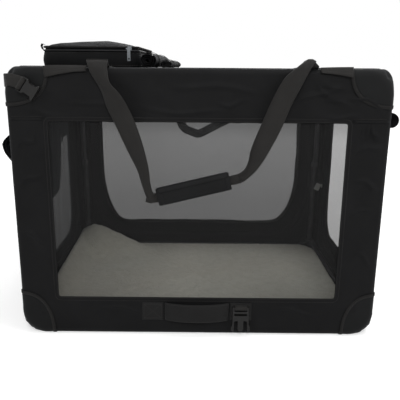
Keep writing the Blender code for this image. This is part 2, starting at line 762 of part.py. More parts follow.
def connector(sx, sy, sz, lug_inset):
    """A moulded corner: a hub, two arms with spigots for the ring's tubes and a lug for the leg."""
    def place(inset_x, inset_y, inset_z):
        return CENTRE + Vector((sx * (HALF.x - inset_x), sy * (HALF.y - inset_y), sz * (HALF.z - inset_z)))

    bm = bmesh.new()
    hub = place(HUB_INSET, HUB_INSET, HUB_INSET)
    half = Vector((HUB_HALF, HUB_HALF, HUB_HALF))
    box(bm, hub - half, hub + half)
    bm.normal_update()
    hub_faces = list(bm.faces)
    x_face = face_towards(bm, hub_faces, Vector((-sx, 0, 0)))
    y_face = face_towards(bm, hub_faces, Vector((0, -sy, 0)))
    z_face = face_towards(bm, hub_faces, Vector((0, 0, -sz)))
    shoulder = TUBE_START - SEAT
    tip = shoulder + SPIGOT_LENGTH
    for face, axis, at in ((x_face, 0, lambda d: place(d, RING_INSET, RING_INSET)),
                           (y_face, 1, lambda d: place(RING_INSET, d, RING_INSET))):
        arm(bm, face, (square(at(shoulder), axis, ARM_HALF, ARM_HALF),
                       square(at(shoulder), axis, SPIGOT_HALF, SPIGOT_HALF),
                       square(at(tip), axis, SPIGOT_HALF, SPIGOT_HALF)))
    foot = PIVOT_HEIGHT - EYE_RADIUS
    arm(bm, z_face, (square(place(LEG_INSET_X, lug_inset, foot), 2, EYE_RADIUS, LUG_THICKNESS / 2),
                     square(place(LEG_INSET_X, lug_inset, PIVOT_HEIGHT), 2, EYE_RADIUS, LUG_THICKNESS / 2),
                     square(place(LEG_INSET_X, lug_inset, PIVOT_HEIGHT + EYE_RADIUS), 2,
                            EYE_RADIUS / 2, LUG_THICKNESS / 2)))
    return bm, place(LEG_INSET_X, lug_inset, PIVOT_HEIGHT)


def leg_line(level):
    """How far inside the front or rear face the lower and the upper leg halves stand."""
    return LEG_INSET_Y + (LEG_STEP if level == "top" else 0)


def corner_connectors(level, sz):
    """Four corner connectors with the rivets that carry the legs."""
    lug_inset = leg_line(level) - EYE_THICKNESS / 2 - SEAT - LUG_THICKNESS / 2
    outer = LUG_THICKNESS / 2
    inner = outer + SEAT + EYE_THICKNESS + SEAT
    for sx, x_name in ((-1, "left"), (1, "right")):
        for sy, y_name in ((-1, "front"), (1, "rear")):
            bm, pivot = connector(sx, sy, sz, lug_inset)
            rivet = bmesh.new()
            lathe(rivet, pivot, (0, -sy, 0), ((-outer - PIN_HEAD, PIN_HEAD_RADIUS), (0, PIN_HEAD_RADIUS),
                                              (0, PIN_RADIUS), (inner, PIN_RADIUS),
                                              (inner, PIN_HEAD_RADIUS), (inner + PIN_HEAD, PIN_HEAD_RADIUS)),
                  PIN_SIDES)
            finish(combine(bm, rivet, "UNION"), f"{level}_{y_name}_{x_name}_connector", "plastic")


def eye_outline():
    """A leg end fitting seen from the side: a round eye with a flat that enters the tube."""
    start = asin(FLAT_HALF / EYE_RADIUS)
    points = [(EYE_RADIUS * cos(start + (2 * pi - 2 * start) * i / EYE_STEPS),
               EYE_RADIUS * sin(start + (2 * pi - 2 * start) * i / EYE_STEPS)) for i in range(EYE_STEPS + 1)]
    return points + [(FLAT_END, -FLAT_HALF), (FLAT_END, FLAT_HALF)]


def leg_half(x, y, low, high, drilled):
    """Half a corner leg: a tube with an eye fitting pressed into each end."""
    leg = bmesh.new()
    hollow_tube(leg, (x, y, low + LEG_TUBE_START), (x, y, high - LEG_TUBE_START), LEG_RADIUS, LEG_WALL,
                LEG_SIDES)
    upright = Matrix.Rotation(pi / 2, 4, "X")
    for z, turn, bored in ((low, pi / 2, True), (high, -pi / 2, drilled)):
        place = Matrix.Translation((x, y, z)) @ upright @ Matrix.Rotation(turn, 4, "Z")
        holes = [circle(PIN_RADIUS + PIN_ROOM, PIN_SIDES)] if bored else []
        leg = combine(leg, flat_solid(eye_outline(), holes, EYE_THICKNESS, place), "UNION")
    return leg


def legs():
    """The four folding legs: a lower half that ends in the knee's rivet, and an upper half."""
    knee = PIVOT_HEIGHT + LEG_HALF_LENGTH
    near = LEG_STEP - EYE_THICKNESS / 2 - SEAT
    far = LEG_STEP + EYE_THICKNESS / 2 + SEAT
    for sx, x_name in ((-1, "left"), (1, "right")):
        for sy, y_name in ((-1, "front"), (1, "rear")):
            prefix = f"{y_name}_{x_name}"
            x = sx * (LENGTH / 2 - LEG_INSET_X)
            lower_y = sy * (DEPTH / 2 - leg_line("bottom"))
            upper_y = sy * (DEPTH / 2 - leg_line("top"))
            lower = leg_half(x, lower_y, PIVOT_HEIGHT, knee, False)
            rivet = bmesh.new()
            lathe(rivet, (x, lower_y, knee), (0, -sy, 0),
                  ((-EYE_THICKNESS / 2 - PIN_HEAD, PIN_HEAD_RADIUS), (0, PIN_HEAD_RADIUS), (0, SPACER_RADIUS),
                   (near, SPACER_RADIUS), (near, PIN_RADIUS), (far, PIN_RADIUS), (far, PIN_HEAD_RADIUS),
                   (far + PIN_HEAD, PIN_HEAD_RADIUS)), PIN_SIDES)
            finish(combine(lower, rivet, "UNION"), prefix + "_lower_leg", "coated_steel",
                   (x, lower_y, PIVOT_HEIGHT), smooth=True)
            finish(leg_half(x, upper_y, knee, HEIGHT - PIVOT_HEIGHT, True), prefix + "_upper_leg",
                   "coated_steel", (x, upper_y, knee), smooth=True)


def round_box_loop(left, right, front, rear, corner, z):
    """A rectangle with round corners as a loop of points at one height."""
    points = []
    for cx, cy, start in ((right - corner, rear - corner, 0), (left + corner, rear - corner, 1),
                          (left + corner, front + corner, 2), (right - corner, front + corner, 3)):
        for i in range(BAG_CORNER_POINTS):
            angle = pi / 2 * (start + i / (BAG_CORNER_POINTS - 1))
            points.append(Vector((cx + corner * cos(angle), cy + corner * sin(angle), z)))
    return points


def bag_loop(inset, z):
    corner = max(BAG_CORNER - inset, CLOTH)
    return round_box_loop(BAG_LEFT + inset, BAG_RIGHT - inset, BAG_FRONT + inset, BAG_REAR - inset, corner, z)


def storage_bag():
    """An open pouch sewn to the roof, its hinged lid and the zip slider between them."""
    low = HEIGHT + SEAT
    high = low + BAG_HEIGHT
    bm = bmesh.new()
    skin(bm, (bag_loop(-BAG_FLARE, low), bag_loop(0, high), bag_loop(CLOTH, high),
              bag_loop(CLOTH - BAG_FLARE, low + CLOTH)))
    finish(bm, "storage_bag", "polyester")

    rim = high + SEAT
    reach = min(BAG_RIGHT - BAG_LEFT, BAG_REAR - BAG_FRONT) / 2
    outer = [bag_loop(reach * a, rim + LID_RISE * b + CLOTH) for a, b in zip(LID_INSET_SHARES, LID_RISE_SHARES)]
    inner = [bag_loop(reach * a, rim + LID_RISE * b) for a, b in zip(LID_INSET_SHARES, LID_RISE_SHARES)]
    bm = bmesh.new()
    skin(bm, outer[::-1] + inner)
    finish(bm, "bag_lid", "polyester", ((BAG_LEFT + BAG_RIGHT) / 2, BAG_REAR, rim))


def zip_slider(name, at, along, out):
    """A slider on its zip, with the pull tab that hangs over it."""
    along, out = Vector(along), Vector(out)
    frame = Matrix((along.cross(out), along, out)).transposed().to_4x4()
    frame.translation = Vector(at) + out * (SLIDER_THICKNESS / 2)
    w, half = SLIDER_WIDTH / 2, SLIDER_LENGTH / 2
    body = flat_solid([(-w, half), (-w / 2, -half), (w / 2, -half), (w, half)], [], SLIDER_THICKNESS, frame)
    down = Vector((0, 0, -1))
    hang = Matrix((down.cross(out), down, out)).transposed().to_4x4()
    hang.translation = Vector(at) + out * (SLIDER_THICKNESS + PULL_THICKNESS / 4)
    w = PULL_WIDTH / 2
    tab = flat_solid([(-w, PULL_LENGTH), (-w, 0), (-w / 2, -w), (w / 2, -w), (w, 0), (w, PULL_LENGTH)],
                     [[(a, PULL_HOLE_DROP + b) for a, b in circle(PULL_HOLE_RADIUS, PIN_SIDES)]],
                     PULL_THICKNESS, hang)
    finish(combine(body, tab, "UNION"), name, "zinc", at)


def zip_sliders():
    on_zip = ZIP_THICKNESS + 2 * SEAT
    rear_half = LENGTH / 2 - DOOR_EDGE_INSET
    end_half = DEPTH / 2 - DOOR_EDGE_INSET
    up = (0, 0, 1)
    zip_slider("rear_zip_slider", (-rear_half, REAR_Y + on_zip, REAR_SLIDER_HEIGHT), up, (0, 1, 0))
    zip_slider("left_zip_slider", (-LENGTH / 2 - on_zip, end_half, LEFT_SLIDER_HEIGHT), up, (-1, 0, 0))
    zip_slider("right_zip_slider", (LENGTH / 2 + on_zip, end_half, RIGHT_SLIDER_HEIGHT), up, (1, 0, 0))
    rim = HEIGHT + SEAT + BAG_HEIGHT
    zip_slider("bag_zip_slider", (BAG_SLIDER_X, BAG_FRONT - BAG_SLIDER_GAP, rim), (1, 0, 0), (0, -1, 0))


def strap_axis():
    return Vector((0, FRONT_Y - STRAP_AXIS_OUT, HEIGHT + STRAP_AXIS_RISE))


def strap_anchors():
    """The two stubs of webbing sewn on the roof, where the shoulder strap starts."""
    axis = strap_axis()
    flat = HEIGHT + SEAT + WEBBING / 2
    front_edge = FRONT_Y + CORNER_RADIUS / 2
    for name, x in (("left_strap_anchor", ANCHOR_LEFT), ("right_strap_anchor", ANCHOR_RIGHT)):
        route = [(front_edge + ANCHOR_LENGTH, flat), (front_edge, flat), (front_edge - WEBBING, flat + WEBBING),
                 (axis.y + 2 * ANCHOR_FLAT, (flat + 2 * axis.z) / 3), (axis.y + ANCHOR_FLAT, axis.z),
                 (axis.y + ANCHOR_END, axis.z)]
        centres = [Vector((x, y, z)) for y, z in route]
        directions = [(centres[min(i + 1, len(centres) - 1)] - centres[max(i - 1, 0)]).normalized()
                      for i in range(len(centres))]
        side = Vector((STRAP_HALF, 0, 0))
        faces = [Vector((1, 0, 0)).cross(d) for d in directions]
        bm = bmesh.new()
        ribbon(bm, centres, [side] * len(centres), faces, WEBBING)
        finish(bm, name, "webbing")


def shoulder_strap():
    """The webbing from anchor to anchor, and the padded sleeve that it runs through."""
    axis = strap_axis()
    start = Vector((PAD_LEFT[0], FRONT_Y - PAD_OUT, PAD_LEFT[1]))
    end = Vector((PAD_RIGHT[0], FRONT_Y - PAD_OUT, PAD_RIGHT[1]))
    along = (end - start).normalized()
    out = Vector((0, -1, 0))
    up = along.cross(out)
    ends = [[(x, STRAP_AXIS_OUT, drop - STRAP_AXIS_RISE, STRAP_HALF, 0) for drop in (STRAP_START, STRAP_DROP)]
            for x in (ANCHOR_LEFT, ANCHOR_RIGHT)]
    rows = [*ends[0], *STRAP_ROUTE, *ends[1][::-1]]
    centres = [Vector((x, FRONT_Y - off, HEIGHT - drop)) for x, off, drop, _, _ in rows]
    sides, faces = [], []
    for i, (_, _, _, half, turn) in enumerate(rows):
        before, after = centres[max(i - 1, 0)], centres[min(i + 1, len(centres) - 1)]
        direction = (after - before).normalized()
        flat = out.cross(direction).normalized()
        if i < len(ends[0]) or i >= len(rows) - len(ends[1]):
            direction = Vector((0, 0, copysign(1, direction.z)))
        level = Vector((copysign(1, flat.x), 0, 0))
        flat = level.lerp(flat, ease((rows[i][2] + STRAP_AXIS_RISE) / STRAP_LEVEL_OVER)).normalized()
        flat = Matrix.Rotation(radians(turn), 3, direction) @ flat
        sides.append(flat * half)
        faces.append(direction.cross(flat).normalized())
    bm = bmesh.new()
    centres, sides, faces = (divided(row, STRAP_STEPS) for row in (centres, sides, faces))
    ribbon(bm, centres, sides, faces, WEBBING)
    finish(bm, "shoulder_strap", "webbing", axis)

    loops = []
    for length_share, width_share in zip(PAD_LENGTH_SHARES, PAD_WIDTH_SHARES):
        at = start.lerp(end, length_share)
        loops.append([at + up * (PAD_HALF * width_share * a) + out * (PAD_THICKNESS / 2 * width_share * b)
                      for a, b in PAD_SECTION_SHARES])
    for at in (end, start):
        loops.append([at + up * (PAD_BORE_HALF * a) + out * (PAD_BORE_THICKNESS / 2 * b)
                      for a, b in PAD_SECTION_SHARES])
    bm = bmesh.new()
    ring_skin(bm, loops)
    finish(bm, "shoulder_pad", "polyester", axis, smooth=True)


def carry_handle():
    """The webbing handle on the front's lower band and the two patches that hold its ends."""
    middle = (HANDLE_LEFT + HANDLE_RIGHT) / 2
    half_length = (HANDLE_RIGHT - HANDLE_LEFT) / 2
    z = (HANDLE_LOW + HANDLE_HIGH) / 2
    rest = HANDLE_THICKNESS / 2 + SEAT
    centres = []
    for i in range(HANDLE_STEPS + 1):
        share = 2 * i / HANDLE_STEPS - 1
        out = rest + HANDLE_BOW * (1 - share * share) ** HANDLE_BOW_POWER
        centres.append(Vector((middle + half_length * share, FRONT_Y - out, z)))
    side = Vector((0, 0, (HANDLE_HIGH - HANDLE_LOW) / 2))
    faces = []
    for i in range(len(centres)):
        before, after = centres[max(i - 1, 0)], centres[min(i + 1, len(centres) - 1)]
        faces.append((after - before).normalized().cross(Vector((0, 0, 1))))
    bm = bmesh.new()
    ribbon(bm, centres, [side] * len(centres), faces, HANDLE_THICKNESS)
    pivot = (middle, FRONT_Y - HANDLE_AXIS_OUT, HANDLE_HIGH + HANDLE_AXIS_RISE)
    finish(bm, "carry_handle", "webbing", pivot)

    gap = HANDLE_THICKNESS
    for name, left in (("left_handle_patch", HANDLE_LEFT - gap - HANDLE_PATCH_LENGTH),
                       ("right_handle_patch", HANDLE_RIGHT + gap)):
        bm = bmesh.new()
        box(bm, (left, FRONT_Y - SEAT - HANDLE_PATCH, HANDLE_LOW),
            (left + HANDLE_PATCH_LENGTH, FRONT_Y - SEAT, HANDLE_HIGH))
        finish(bm, name, "webbing")


def hook_route(bar_out, back_out):
    """Webbing round a buckle's bar, as rows of distance along and distance out."""
    r = WEB_LOOP_RADIUS
    first, *others = [(r * along, r * out) for along, out in HOOK_SHARES]
    return ((-MALE_TAIL, back_out), (-r / 2, back_out), (first[0], (bar_out + back_out) / 2 + first[1]),
            *((along, bar_out + out) for along, out in others))


def male_buckle():
    """The pronged half on its webbing, hanging on the front's lower band."""
    back = SEAT + HANDLE_PATCH + SEAT + WEBBING / 2
    centres = [Vector((MALE_X, FRONT_Y - out, MALE_BAR_HEIGHT + up)) for up, out in hook_route(MALE_BAR_OUT, back)]
    side = Vector((BUCKLE_WEB_HALF, 0, 0))
    faces = []
    for i in range(len(centres)):
        before, after = centres[max(i - 1, 0)], centres[min(i + 1, len(centres) - 1)]
        faces.append(side.normalized().cross((after - before).normalized()))
    bm = bmesh.new()
    ribbon(bm, centres, [side] * len(centres), faces, WEBBING)
    finish(bm, "buckle_strap", "webbing")

    half = [(MALE_HALF * a, -MALE_LENGTH * b) for a, b in MALE_OUTLINE_SHARES]
    shape = half + [(-a, b) for a, b in half[-2::-1]]
    holes = [[(-MALE_SLOT_HALF, -BUCKLE_BAR_HALF - high), (MALE_SLOT_HALF, -BUCKLE_BAR_HALF - high),
              (MALE_SLOT_HALF, -BUCKLE_BAR_HALF - low), (-MALE_SLOT_HALF, -BUCKLE_BAR_HALF - low)]
             for low, high in MALE_SLOTS]
    place = Matrix.Translation((MALE_X, FRONT_Y - MALE_BAR_OUT, MALE_BAR_HEIGHT + BUCKLE_BAR_HALF))
    bm = flat_solid(shape, holes, MALE_THICKNESS, place @ Matrix.Rotation(pi / 2, 4, "X"))
    finish(bm, "male_buckle", "plastic", (MALE_X, FRONT_Y - MALE_BAR_OUT, MALE_BAR_HEIGHT))


def female_frame():
    """Axes of the female buckle: along it, across it and out of the front."""
    along = Vector((cos(FEMALE_SLOPE), 0, sin(FEMALE_SLOPE)))
    out = Vector((0, -1, 0))
    return along, out.cross(along), out


def female_buckle():
    """The socket half at the upper left corner, on webbing that comes round from the end."""
    along, side, out = female_frame()
    bar = Vector((FEMALE_BAR[0], FRONT_Y - FEMALE_BAR_OUT, FEMALE_BAR[1]))
    place = Matrix((along, side, out)).transposed().to_4x4()
    place.translation = bar
    half = [(FEMALE_LENGTH * a, FEMALE_HALF * b) for a, b in FEMALE_OUTLINE_SHARES]
    shape = half + [(a, -b) for a, b in half[::-1]]
    low, high = FEMALE_SLOT
    hole = [(low, -FEMALE_SLOT_HALF), (high, -FEMALE_SLOT_HALF), (high, FEMALE_SLOT_HALF), (low, FEMALE_SLOT_HALF)]
    cavity = bmesh.new()
    t = FEMALE_CAVITY_THICKNESS / 2
    box(cavity, (FEMALE_CAVITY_START, -FEMALE_CAVITY_HALF, -t),
        (FEMALE_LENGTH + CUT_OVERRUN, FEMALE_CAVITY_HALF, t))
    for low_out, high_out in ((-FEMALE_THICKNESS, -BUCKLE_BAR_HALF), (BUCKLE_BAR_HALF, FEMALE_THICKNESS)):
        box(cavity, (-FEMALE_THICKNESS, -FEMALE_SLOT_HALF, low_out), (high, FEMALE_SLOT_HALF, high_out))
    bmesh.ops.transform(cavity, matrix=place, verts=cavity.verts)
    socket = flat_solid(shape, [hole], FEMALE_THICKNESS, place)
    finish(combine(socket, cavity, "DIFFERENCE"), "female_buckle", "plastic", bar)

    # The webbing follows the cover from the end, then passes over the bar into the slot.
    sewn = SEAT + WEBBING / 2
    route = [(inset_x - LENGTH / 2, FRONT_Y + inset_y, HEIGHT - drop) for inset_x, inset_y, drop in CORNER_WEB_ROUTE]
    centres = [on_cover(p, -max(sewn, CORNER_WEB_LIFT * min(i, 1))) for i, p in enumerate(route)]
    faces = [cover_normal(p) for p in route]
    loop_start = len(centres)
    for angle in FEMALE_WEB_ANGLES:
        centres.append(bar + (along * cos(radians(angle)) + out * sin(radians(angle))) * WEB_LOOP_RADIUS)
        faces.append(out)
    steps = []
    for i in range(len(centres)):
        before, after = centres[max(i - 1, 0)], centres[min(i + 1, len(centres) - 1)]
        step = (after - before).normalized()
        across_web = faces[i].cross(step).normalized() if i < loop_start else side
        steps.append((across_web * BUCKLE_WEB_HALF, step.cross(across_web).normalized()))
    bm = bmesh.new()
    ribbon(bm, centres, [s for s, _ in steps], [f for _, f in steps], WEBBING)
    finish(bm, "corner_buckle_strap", "webbing")


def main():
    for existing in list(bpy.data.objects):
        bpy.data.objects.remove(existing)
    roof_and_base()
    front_wall()
    walls()
    doors()
    rolled_covers()
    roof_roll("rolled_roof_cover", COVER_ROLL_X, COVER_ROLL_SIZE, "polyester")
    roof_roll("rolled_roof_mesh", MESH_ROLL_X, MESH_ROLL_SIZE, "mesh")
    fleece_mat()
    ring_tubes("bottom", RING_INSET)
    ring_tubes("top", HEIGHT - RING_INSET)
    corner_connectors("bottom", -1)
    corner_connectors("top", 1)
    legs()
    storage_bag()
    zip_sliders()
    strap_anchors()
    shoulder_strap()
    carry_handle()
    male_buckle()
    female_buckle()


main()
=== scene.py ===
"""Soft folding dog crate, dressed: cloth, mesh, webbing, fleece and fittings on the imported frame."""

from collections import namedtuple
from math import copysign, cos, hypot, pi, radians, sin, sqrt

import bmesh
import bpy
from mathutils import Matrix, Vector, noise


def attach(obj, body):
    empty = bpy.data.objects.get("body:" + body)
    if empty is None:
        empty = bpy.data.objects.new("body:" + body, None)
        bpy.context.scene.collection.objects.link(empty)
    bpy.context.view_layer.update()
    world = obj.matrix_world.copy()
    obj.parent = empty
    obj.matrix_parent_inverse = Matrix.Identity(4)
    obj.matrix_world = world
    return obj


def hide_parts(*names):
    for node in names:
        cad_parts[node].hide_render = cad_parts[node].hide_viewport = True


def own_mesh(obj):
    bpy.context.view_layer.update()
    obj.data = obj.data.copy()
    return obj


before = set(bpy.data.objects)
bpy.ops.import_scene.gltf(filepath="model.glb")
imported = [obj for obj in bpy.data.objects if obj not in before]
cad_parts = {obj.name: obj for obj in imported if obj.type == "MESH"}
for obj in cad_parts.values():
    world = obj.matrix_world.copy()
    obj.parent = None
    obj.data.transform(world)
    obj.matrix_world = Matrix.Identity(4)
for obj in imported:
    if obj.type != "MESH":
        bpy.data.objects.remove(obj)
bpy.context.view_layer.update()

# The crate, as in the solids, in metres. An opening is its left, right, lower and upper edge.
LENGTH = 0.700
DEPTH = 0.520
HEIGHT = 0.520
HALF = Vector((LENGTH / 2, DEPTH / 2, HEIGHT / 2))
CENTRE = Vector((0, 0, HEIGHT / 2))
FRONT_Y = -DEPTH / 2
REAR_Y = DEPTH / 2
SEAT = 0.0003
SEAM_HALF = 0.0002
CLOTH = 0.0014
EDGE_RADIUS = 0.0106
CORNER_RADIUS = 0.030
CORNER_REACH = 0.048
EDGE_INSETS = (SEAM_HALF, 0.0014, 0.003, 0.005, 0.007, 0.009, EDGE_RADIUS, 0.0135, 0.017, 0.021, 0.0255, CORNER_RADIUS)
SIDE_ENDS = (0.004, 0.008, 0.0125, 0.017, 0.022, 0.028, 0.034, 0.041, 0.048, 0.060, 0.075)
FRONT_WINDOW, FRONT_CORNER = (-0.275, 0.270, 0.080, 0.425), (0.004, 0.004)
ROOF_OPENING, ROOF_CORNER = (-0.045, 0.285, -0.190, 0.190), (0.060, 0.060)
HINGE_HEIGHT = 0.445
DOOR_LOW = 0.045
DOOR_EDGE_INSET = 0.034
DOOR_GAP = 0.001
DOOR_WINDOW = (0.085, 0.420)
NET_LAP = 0.006
NET_DEPTH = 0.0025

# How finely the openings are divided along their length and their height.
COUNTS, END_COUNTS, ROOF_COUNTS, FRONT_COUNTS, MAT_COUNTS = (36, 22), (26, 22), (36, 26), (144, 104), (120, 84)
TRIM_STEP = 0.006
COIL_STEP = 0.00085

# Tapes: half width and thickness.
HEM_TAPE, BAND_TAPE, HINGE_TAPE, PATCH_TAPE = (0.0046, 0.0004), (0.0024, 0.0009), (0.0070, 0.0008), (0.0034, 0.0010)
WINDOW_TAPE, ZIP_TAPE, TOP_TAPE = (0.0052, 0.0009), (0.0058, 0.0007), (0.0046, 0.0008)
INNER_WINDOW_TAPE, INNER_ZIP_TAPE = (0.0052, 0.0008), (0.0062, 0.0008)
ROLL_TIE, LOOSE_LOOP, ZIP_TAB = (0.0075, 0.0008), (0.0115, 0.0014), (0.0060, 0.0012)
HANDLE_TAPE, HANDLE_PATCH_TAPE, BUCKLE_TAPE = (0.0190, 0.0026), (0.0190, 0.0012), (0.0118, 0.0015)
DOOR_TEETH, BAG_TEETH = (0.0023, 0.0014), (0.0019, 0.0013)

AXIS_X, AXIS_Y, UP = Vector((1, 0, 0)), Vector((0, 1, 0)), Vector((0, 0, 1))
FORWARD = -AXIS_Y


# Small tools.

def ease(share):
    """A share of the way from 0 to 1, slow at both ends."""
    share = min(max(share, 0), 1)
    return share * share * (3 - 2 * share)


def between(rows, place):
    """The value at a place, from rows of places with their values."""
    for near, far in zip(rows, rows[1:]):
        if place <= far[0]:
            share = (place - near[0]) / (far[0] - near[0])
            return near[1] + (far[1] - near[1]) * share
    return rows[-1][1]


def blend(start, end, share):
    """The line part of the way from one line of places to another."""
    return [(a[0] + (b[0] - a[0]) * share, a[1] + (b[1] - a[1]) * share) for a, b in zip(start, end)]


def each(value, places):
    """A list with a value for each place, also where all share one value."""
    return value if isinstance(value, list) else [value] * len(places)


def rumple(point, reach, seed):
    """A soft random height from -1 to 1 that changes over the given distance."""
    return noise.noise(Vector(point) / reach + Vector((seed, 1.7 * seed, -0.6 * seed)))


def on_cover(point, depth):
    """A point of the sharp box moved onto the rounded cover, at a depth under its surface."""
    reach = max(HALF[i] - abs(point[i] - CENTRE[i]) for i in range(3))
    radius = EDGE_RADIUS + (CORNER_RADIUS - EDGE_RADIUS) * ease(1 - reach / CORNER_REACH)
    core = Vector([min(max(point[i], CENTRE[i] - HALF[i] + radius), CENTRE[i] + HALF[i] - radius)
                   for i in range(3)])
    return core + (Vector(point) - core).normalized() * (radius - depth)


def cover_normal(point):
    """The direction out of the cover at a point of the sharp box."""
    return (on_cover(point, -SEAT) - on_cover(point, 0)).normalized()


def side_of_box(axis, place):
    """Makes the function that turns two measures on one side of the sharp box into its point."""
    def point(u, v):
        spot = [u, v]
        spot.insert(axis, place)
        return Vector(spot)
    return point


front_point, rear_point = side_of_box(1, FRONT_Y), side_of_box(1, REAR_Y)
left_point, right_point = side_of_box(0, -LENGTH / 2), side_of_box(0, LENGTH / 2)
roof_point, base_point = side_of_box(2, HEIGHT), side_of_box(2, 0)


def side_places(length, middle):
    """Places along a side, closer together near its ends."""
    span = length - 2 * SIDE_ENDS[-1]
    inner = [SIDE_ENDS[-1] + span * k / middle for k in range(1, middle)]
    return [0, *SIDE_ENDS, *inner, *(length - end for end in SIDE_ENDS[::-1])]


def rectangle(left, right, low, high, counts=COUNTS):
    """A line round a rectangle, from its lower left corner."""
    wide, tall = side_places(right - left, counts[0]), side_places(high - low, counts[1])
    return ([(left + along, low) for along in wide] + [(right, low + along) for along in tall]
            + [(right - along, high) for along in wide] + [(left, high - along) for along in tall])


def outline(edges, corner, sharp="", by=0.0, counts=COUNTS):
    """The line round an opening, grown by a margin. Its corners are rounded, but not those of the sharp side."""
    left, right, low, high = edges[0] - by, edges[1] + by, edges[2] - by, edges[3] + by
    wide, tall = corner[0] + by, corner[1] + by
    route = []
    for u, v in rectangle(left, right, low, high, counts):
        a = max(0 if sharp == "left" else (left + wide - u) / wide, (u - right + wide) / wide, 0)
        b = max((low + tall - v) / tall, 0 if sharp == "top" else (v - high + tall) / tall, 0)
        if a > 0 and b > 0:
            scale = max(a, b) / hypot(a, b)
            u = left + wide * (1 - a * scale) if u < (left + right) / 2 else right - wide * (1 - a * scale)
            v = low + tall * (1 - b * scale) if v < (low + high) / 2 else high - tall * (1 - b * scale)
        route.append((u, v))
    return route


def headings(centres, closed=False):
    """The direction of a path at each of its points."""
    last = len(centres) - 1
    befores = [centres[i - 1 if closed else max(i - 1, 0)] for i in range(last + 1)]
    afters = [centres[(i + 1) % (last + 1) if closed else min(i + 1, last)] for i in range(last + 1)]
    return [(after - before).normalized() for before, after in zip(befores, afters)]


def measured(centres, closed=False):
    """How far along a path each of its points lies."""
    lengths = [0.0]
    for near, far in zip(centres, centres[1:] + centres[:1] if closed else centres[1:]):
        lengths.append(lengths[-1] + (far - near).length)
    return lengths


def spaced(route, step, closed=False):
    """A route of points divided again into equal steps."""
    points = [Vector(p) for p in route]
    if closed:
        points.append(points[0])
    lengths = measured(points)
    count = max(2, round(lengths[-1] / step))
    result, k = [], 0
    for i in range(count if closed else count + 1):
        at = lengths[-1] * i / count
        while k < len(points) - 2 and lengths[k + 1] < at:
            k += 1
        span = lengths[k + 1] - lengths[k]
        result.append(points[k].lerp(points[k + 1], (at - lengths[k]) / span if span else 0))
    return result


def flat_route(route, closed=False, step=TRIM_STEP):
    """A route on one side of the crate, divided into equal steps."""
    return [(p.x, p.y) for p in spaced([(u, v, 0) for u, v in route], step, closed)]


def on_face(point, route, lift):
    """A route drawn on one side of the cover: its points, and the directions out of the cover."""
    return [on_cover(point(u, v), -lift) for u, v in route], [cover_normal(point(u, v)) for u, v in route]


def under_face(point, route, gap):
    """The same on the inside of the cloth, with the directions into the crate."""
    places, outs = on_face(point, route, -CLOTH - gap)
    return places, [-out for out in outs]


def loft(bm, rings, uv, around=True, ring_path=False):
    """Joins rings of points with quads and writes each corner's place in the UV map."""
    layer = bm.loops.layers.uv.verify()
    verts = [[bm.verts.new(p) for p in ring] for ring in rings]
    many, count = len(rings), len(rings[0])
    for i in range(many if ring_path else many - 1):
        for j in range(count if around else count - 1):
            corners = ((i, j), (i, j + 1), (i + 1, j + 1), (i + 1, j))
            face = bm.faces.new([verts[a % many][b % count] for a, b in corners])
            face.smooth = True
            for loop, (a, b) in zip(face.loops, corners):
                loop[layer].uv = uv(a, b)
    return verts


def loft_loops(loops, rings):
    """A sheet through rings of points, with the flat loops that they came from as its UV map."""
    bm = bmesh.new()
    return bm, loft(bm, rings, lambda i, j: loops[i][j % len(loops[0])][:2])


def piece(name, bm, look, inside=None, thickness=0.0):
    """Makes an object of a bmesh. A sheet is turned to face away from the point inside it."""
    if inside is None:
        bmesh.ops.recalc_face_normals(bm, faces=bm.faces)
    else:
        bm.normal_update()
        if sum((f.calc_center_median() - Vector(inside)).dot(f.normal) * f.calc_area() for f in bm.faces) < 0:
            bmesh.ops.reverse_faces(bm, faces=bm.faces)
    mesh = bpy.data.meshes.new(name)
    bm.to_mesh(mesh)
    bm.free()
    made = bpy.data.objects.new(name, mesh)
    bpy.context.collection.objects.link(made)
    mesh.materials.append(look)
    if thickness:
        wall = made.modifiers.new("thickness", "SOLIDIFY")
        wall.thickness = thickness
        wall.offset = -1
    return made


def dress(made, body, fold=None, nodes=()):
    """Rides a piece on its body and hides the solids it stands for; a piece with a fold gets a mesh of its own."""
    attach(made, body)
    if nodes:
        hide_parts(*nodes)
    if fold is not None:
        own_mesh(made)
    return made


def add_piece(name, bm, look, body, fold=None, nodes=(), inside=None, thickness=0.0):
    """Makes a piece and dresses it."""
    return dress(piece(name, bm, look, inside, thickness), body, fold, nodes)


def swept(bm, rings, across, centres, closed):
    """Joins the sections of a path, with its UV map in metres, and closes its ends."""
    lengths = measured(centres, closed)
    verts = loft(bm, rings, lambda i, j: (across[j], lengths[i]), ring_path=closed)
    if not closed:
        bm.faces.new(verts[0])
        bm.faces.new(verts[-1][::-1])


TAPE_SECTION = ((-1, 0.3), (-0.93, 1), (-0.35, 1.04), (0.35, 1.04), (0.93, 1), (1, 0.3), (0.93, 0), (-0.93, 0))


def tape(bm, centres, outs, half, thickness, closed=False, sides=None, rise=0):
    """Tape laid along a path. Its middle is lifted by the rise, and its sides can be given."""
    halves, outs = each(half, centres), each(outs, centres)
    if sides is None:
        sides = [along.cross(out).normalized() for along, out in zip(headings(centres, closed), outs)]
    rings = [[centre + side * (width * a) + out * (thickness * b + cup * (1 - a * a)) for a, b in TAPE_SECTION]
             for centre, side, out, width, cup in zip(centres, each(sides, centres), outs, halves, each(rise, centres))]
    swept(bm, rings, [a * max(halves) for a, _ in (*TAPE_SECTION, TAPE_SECTION[0])], centres, closed)


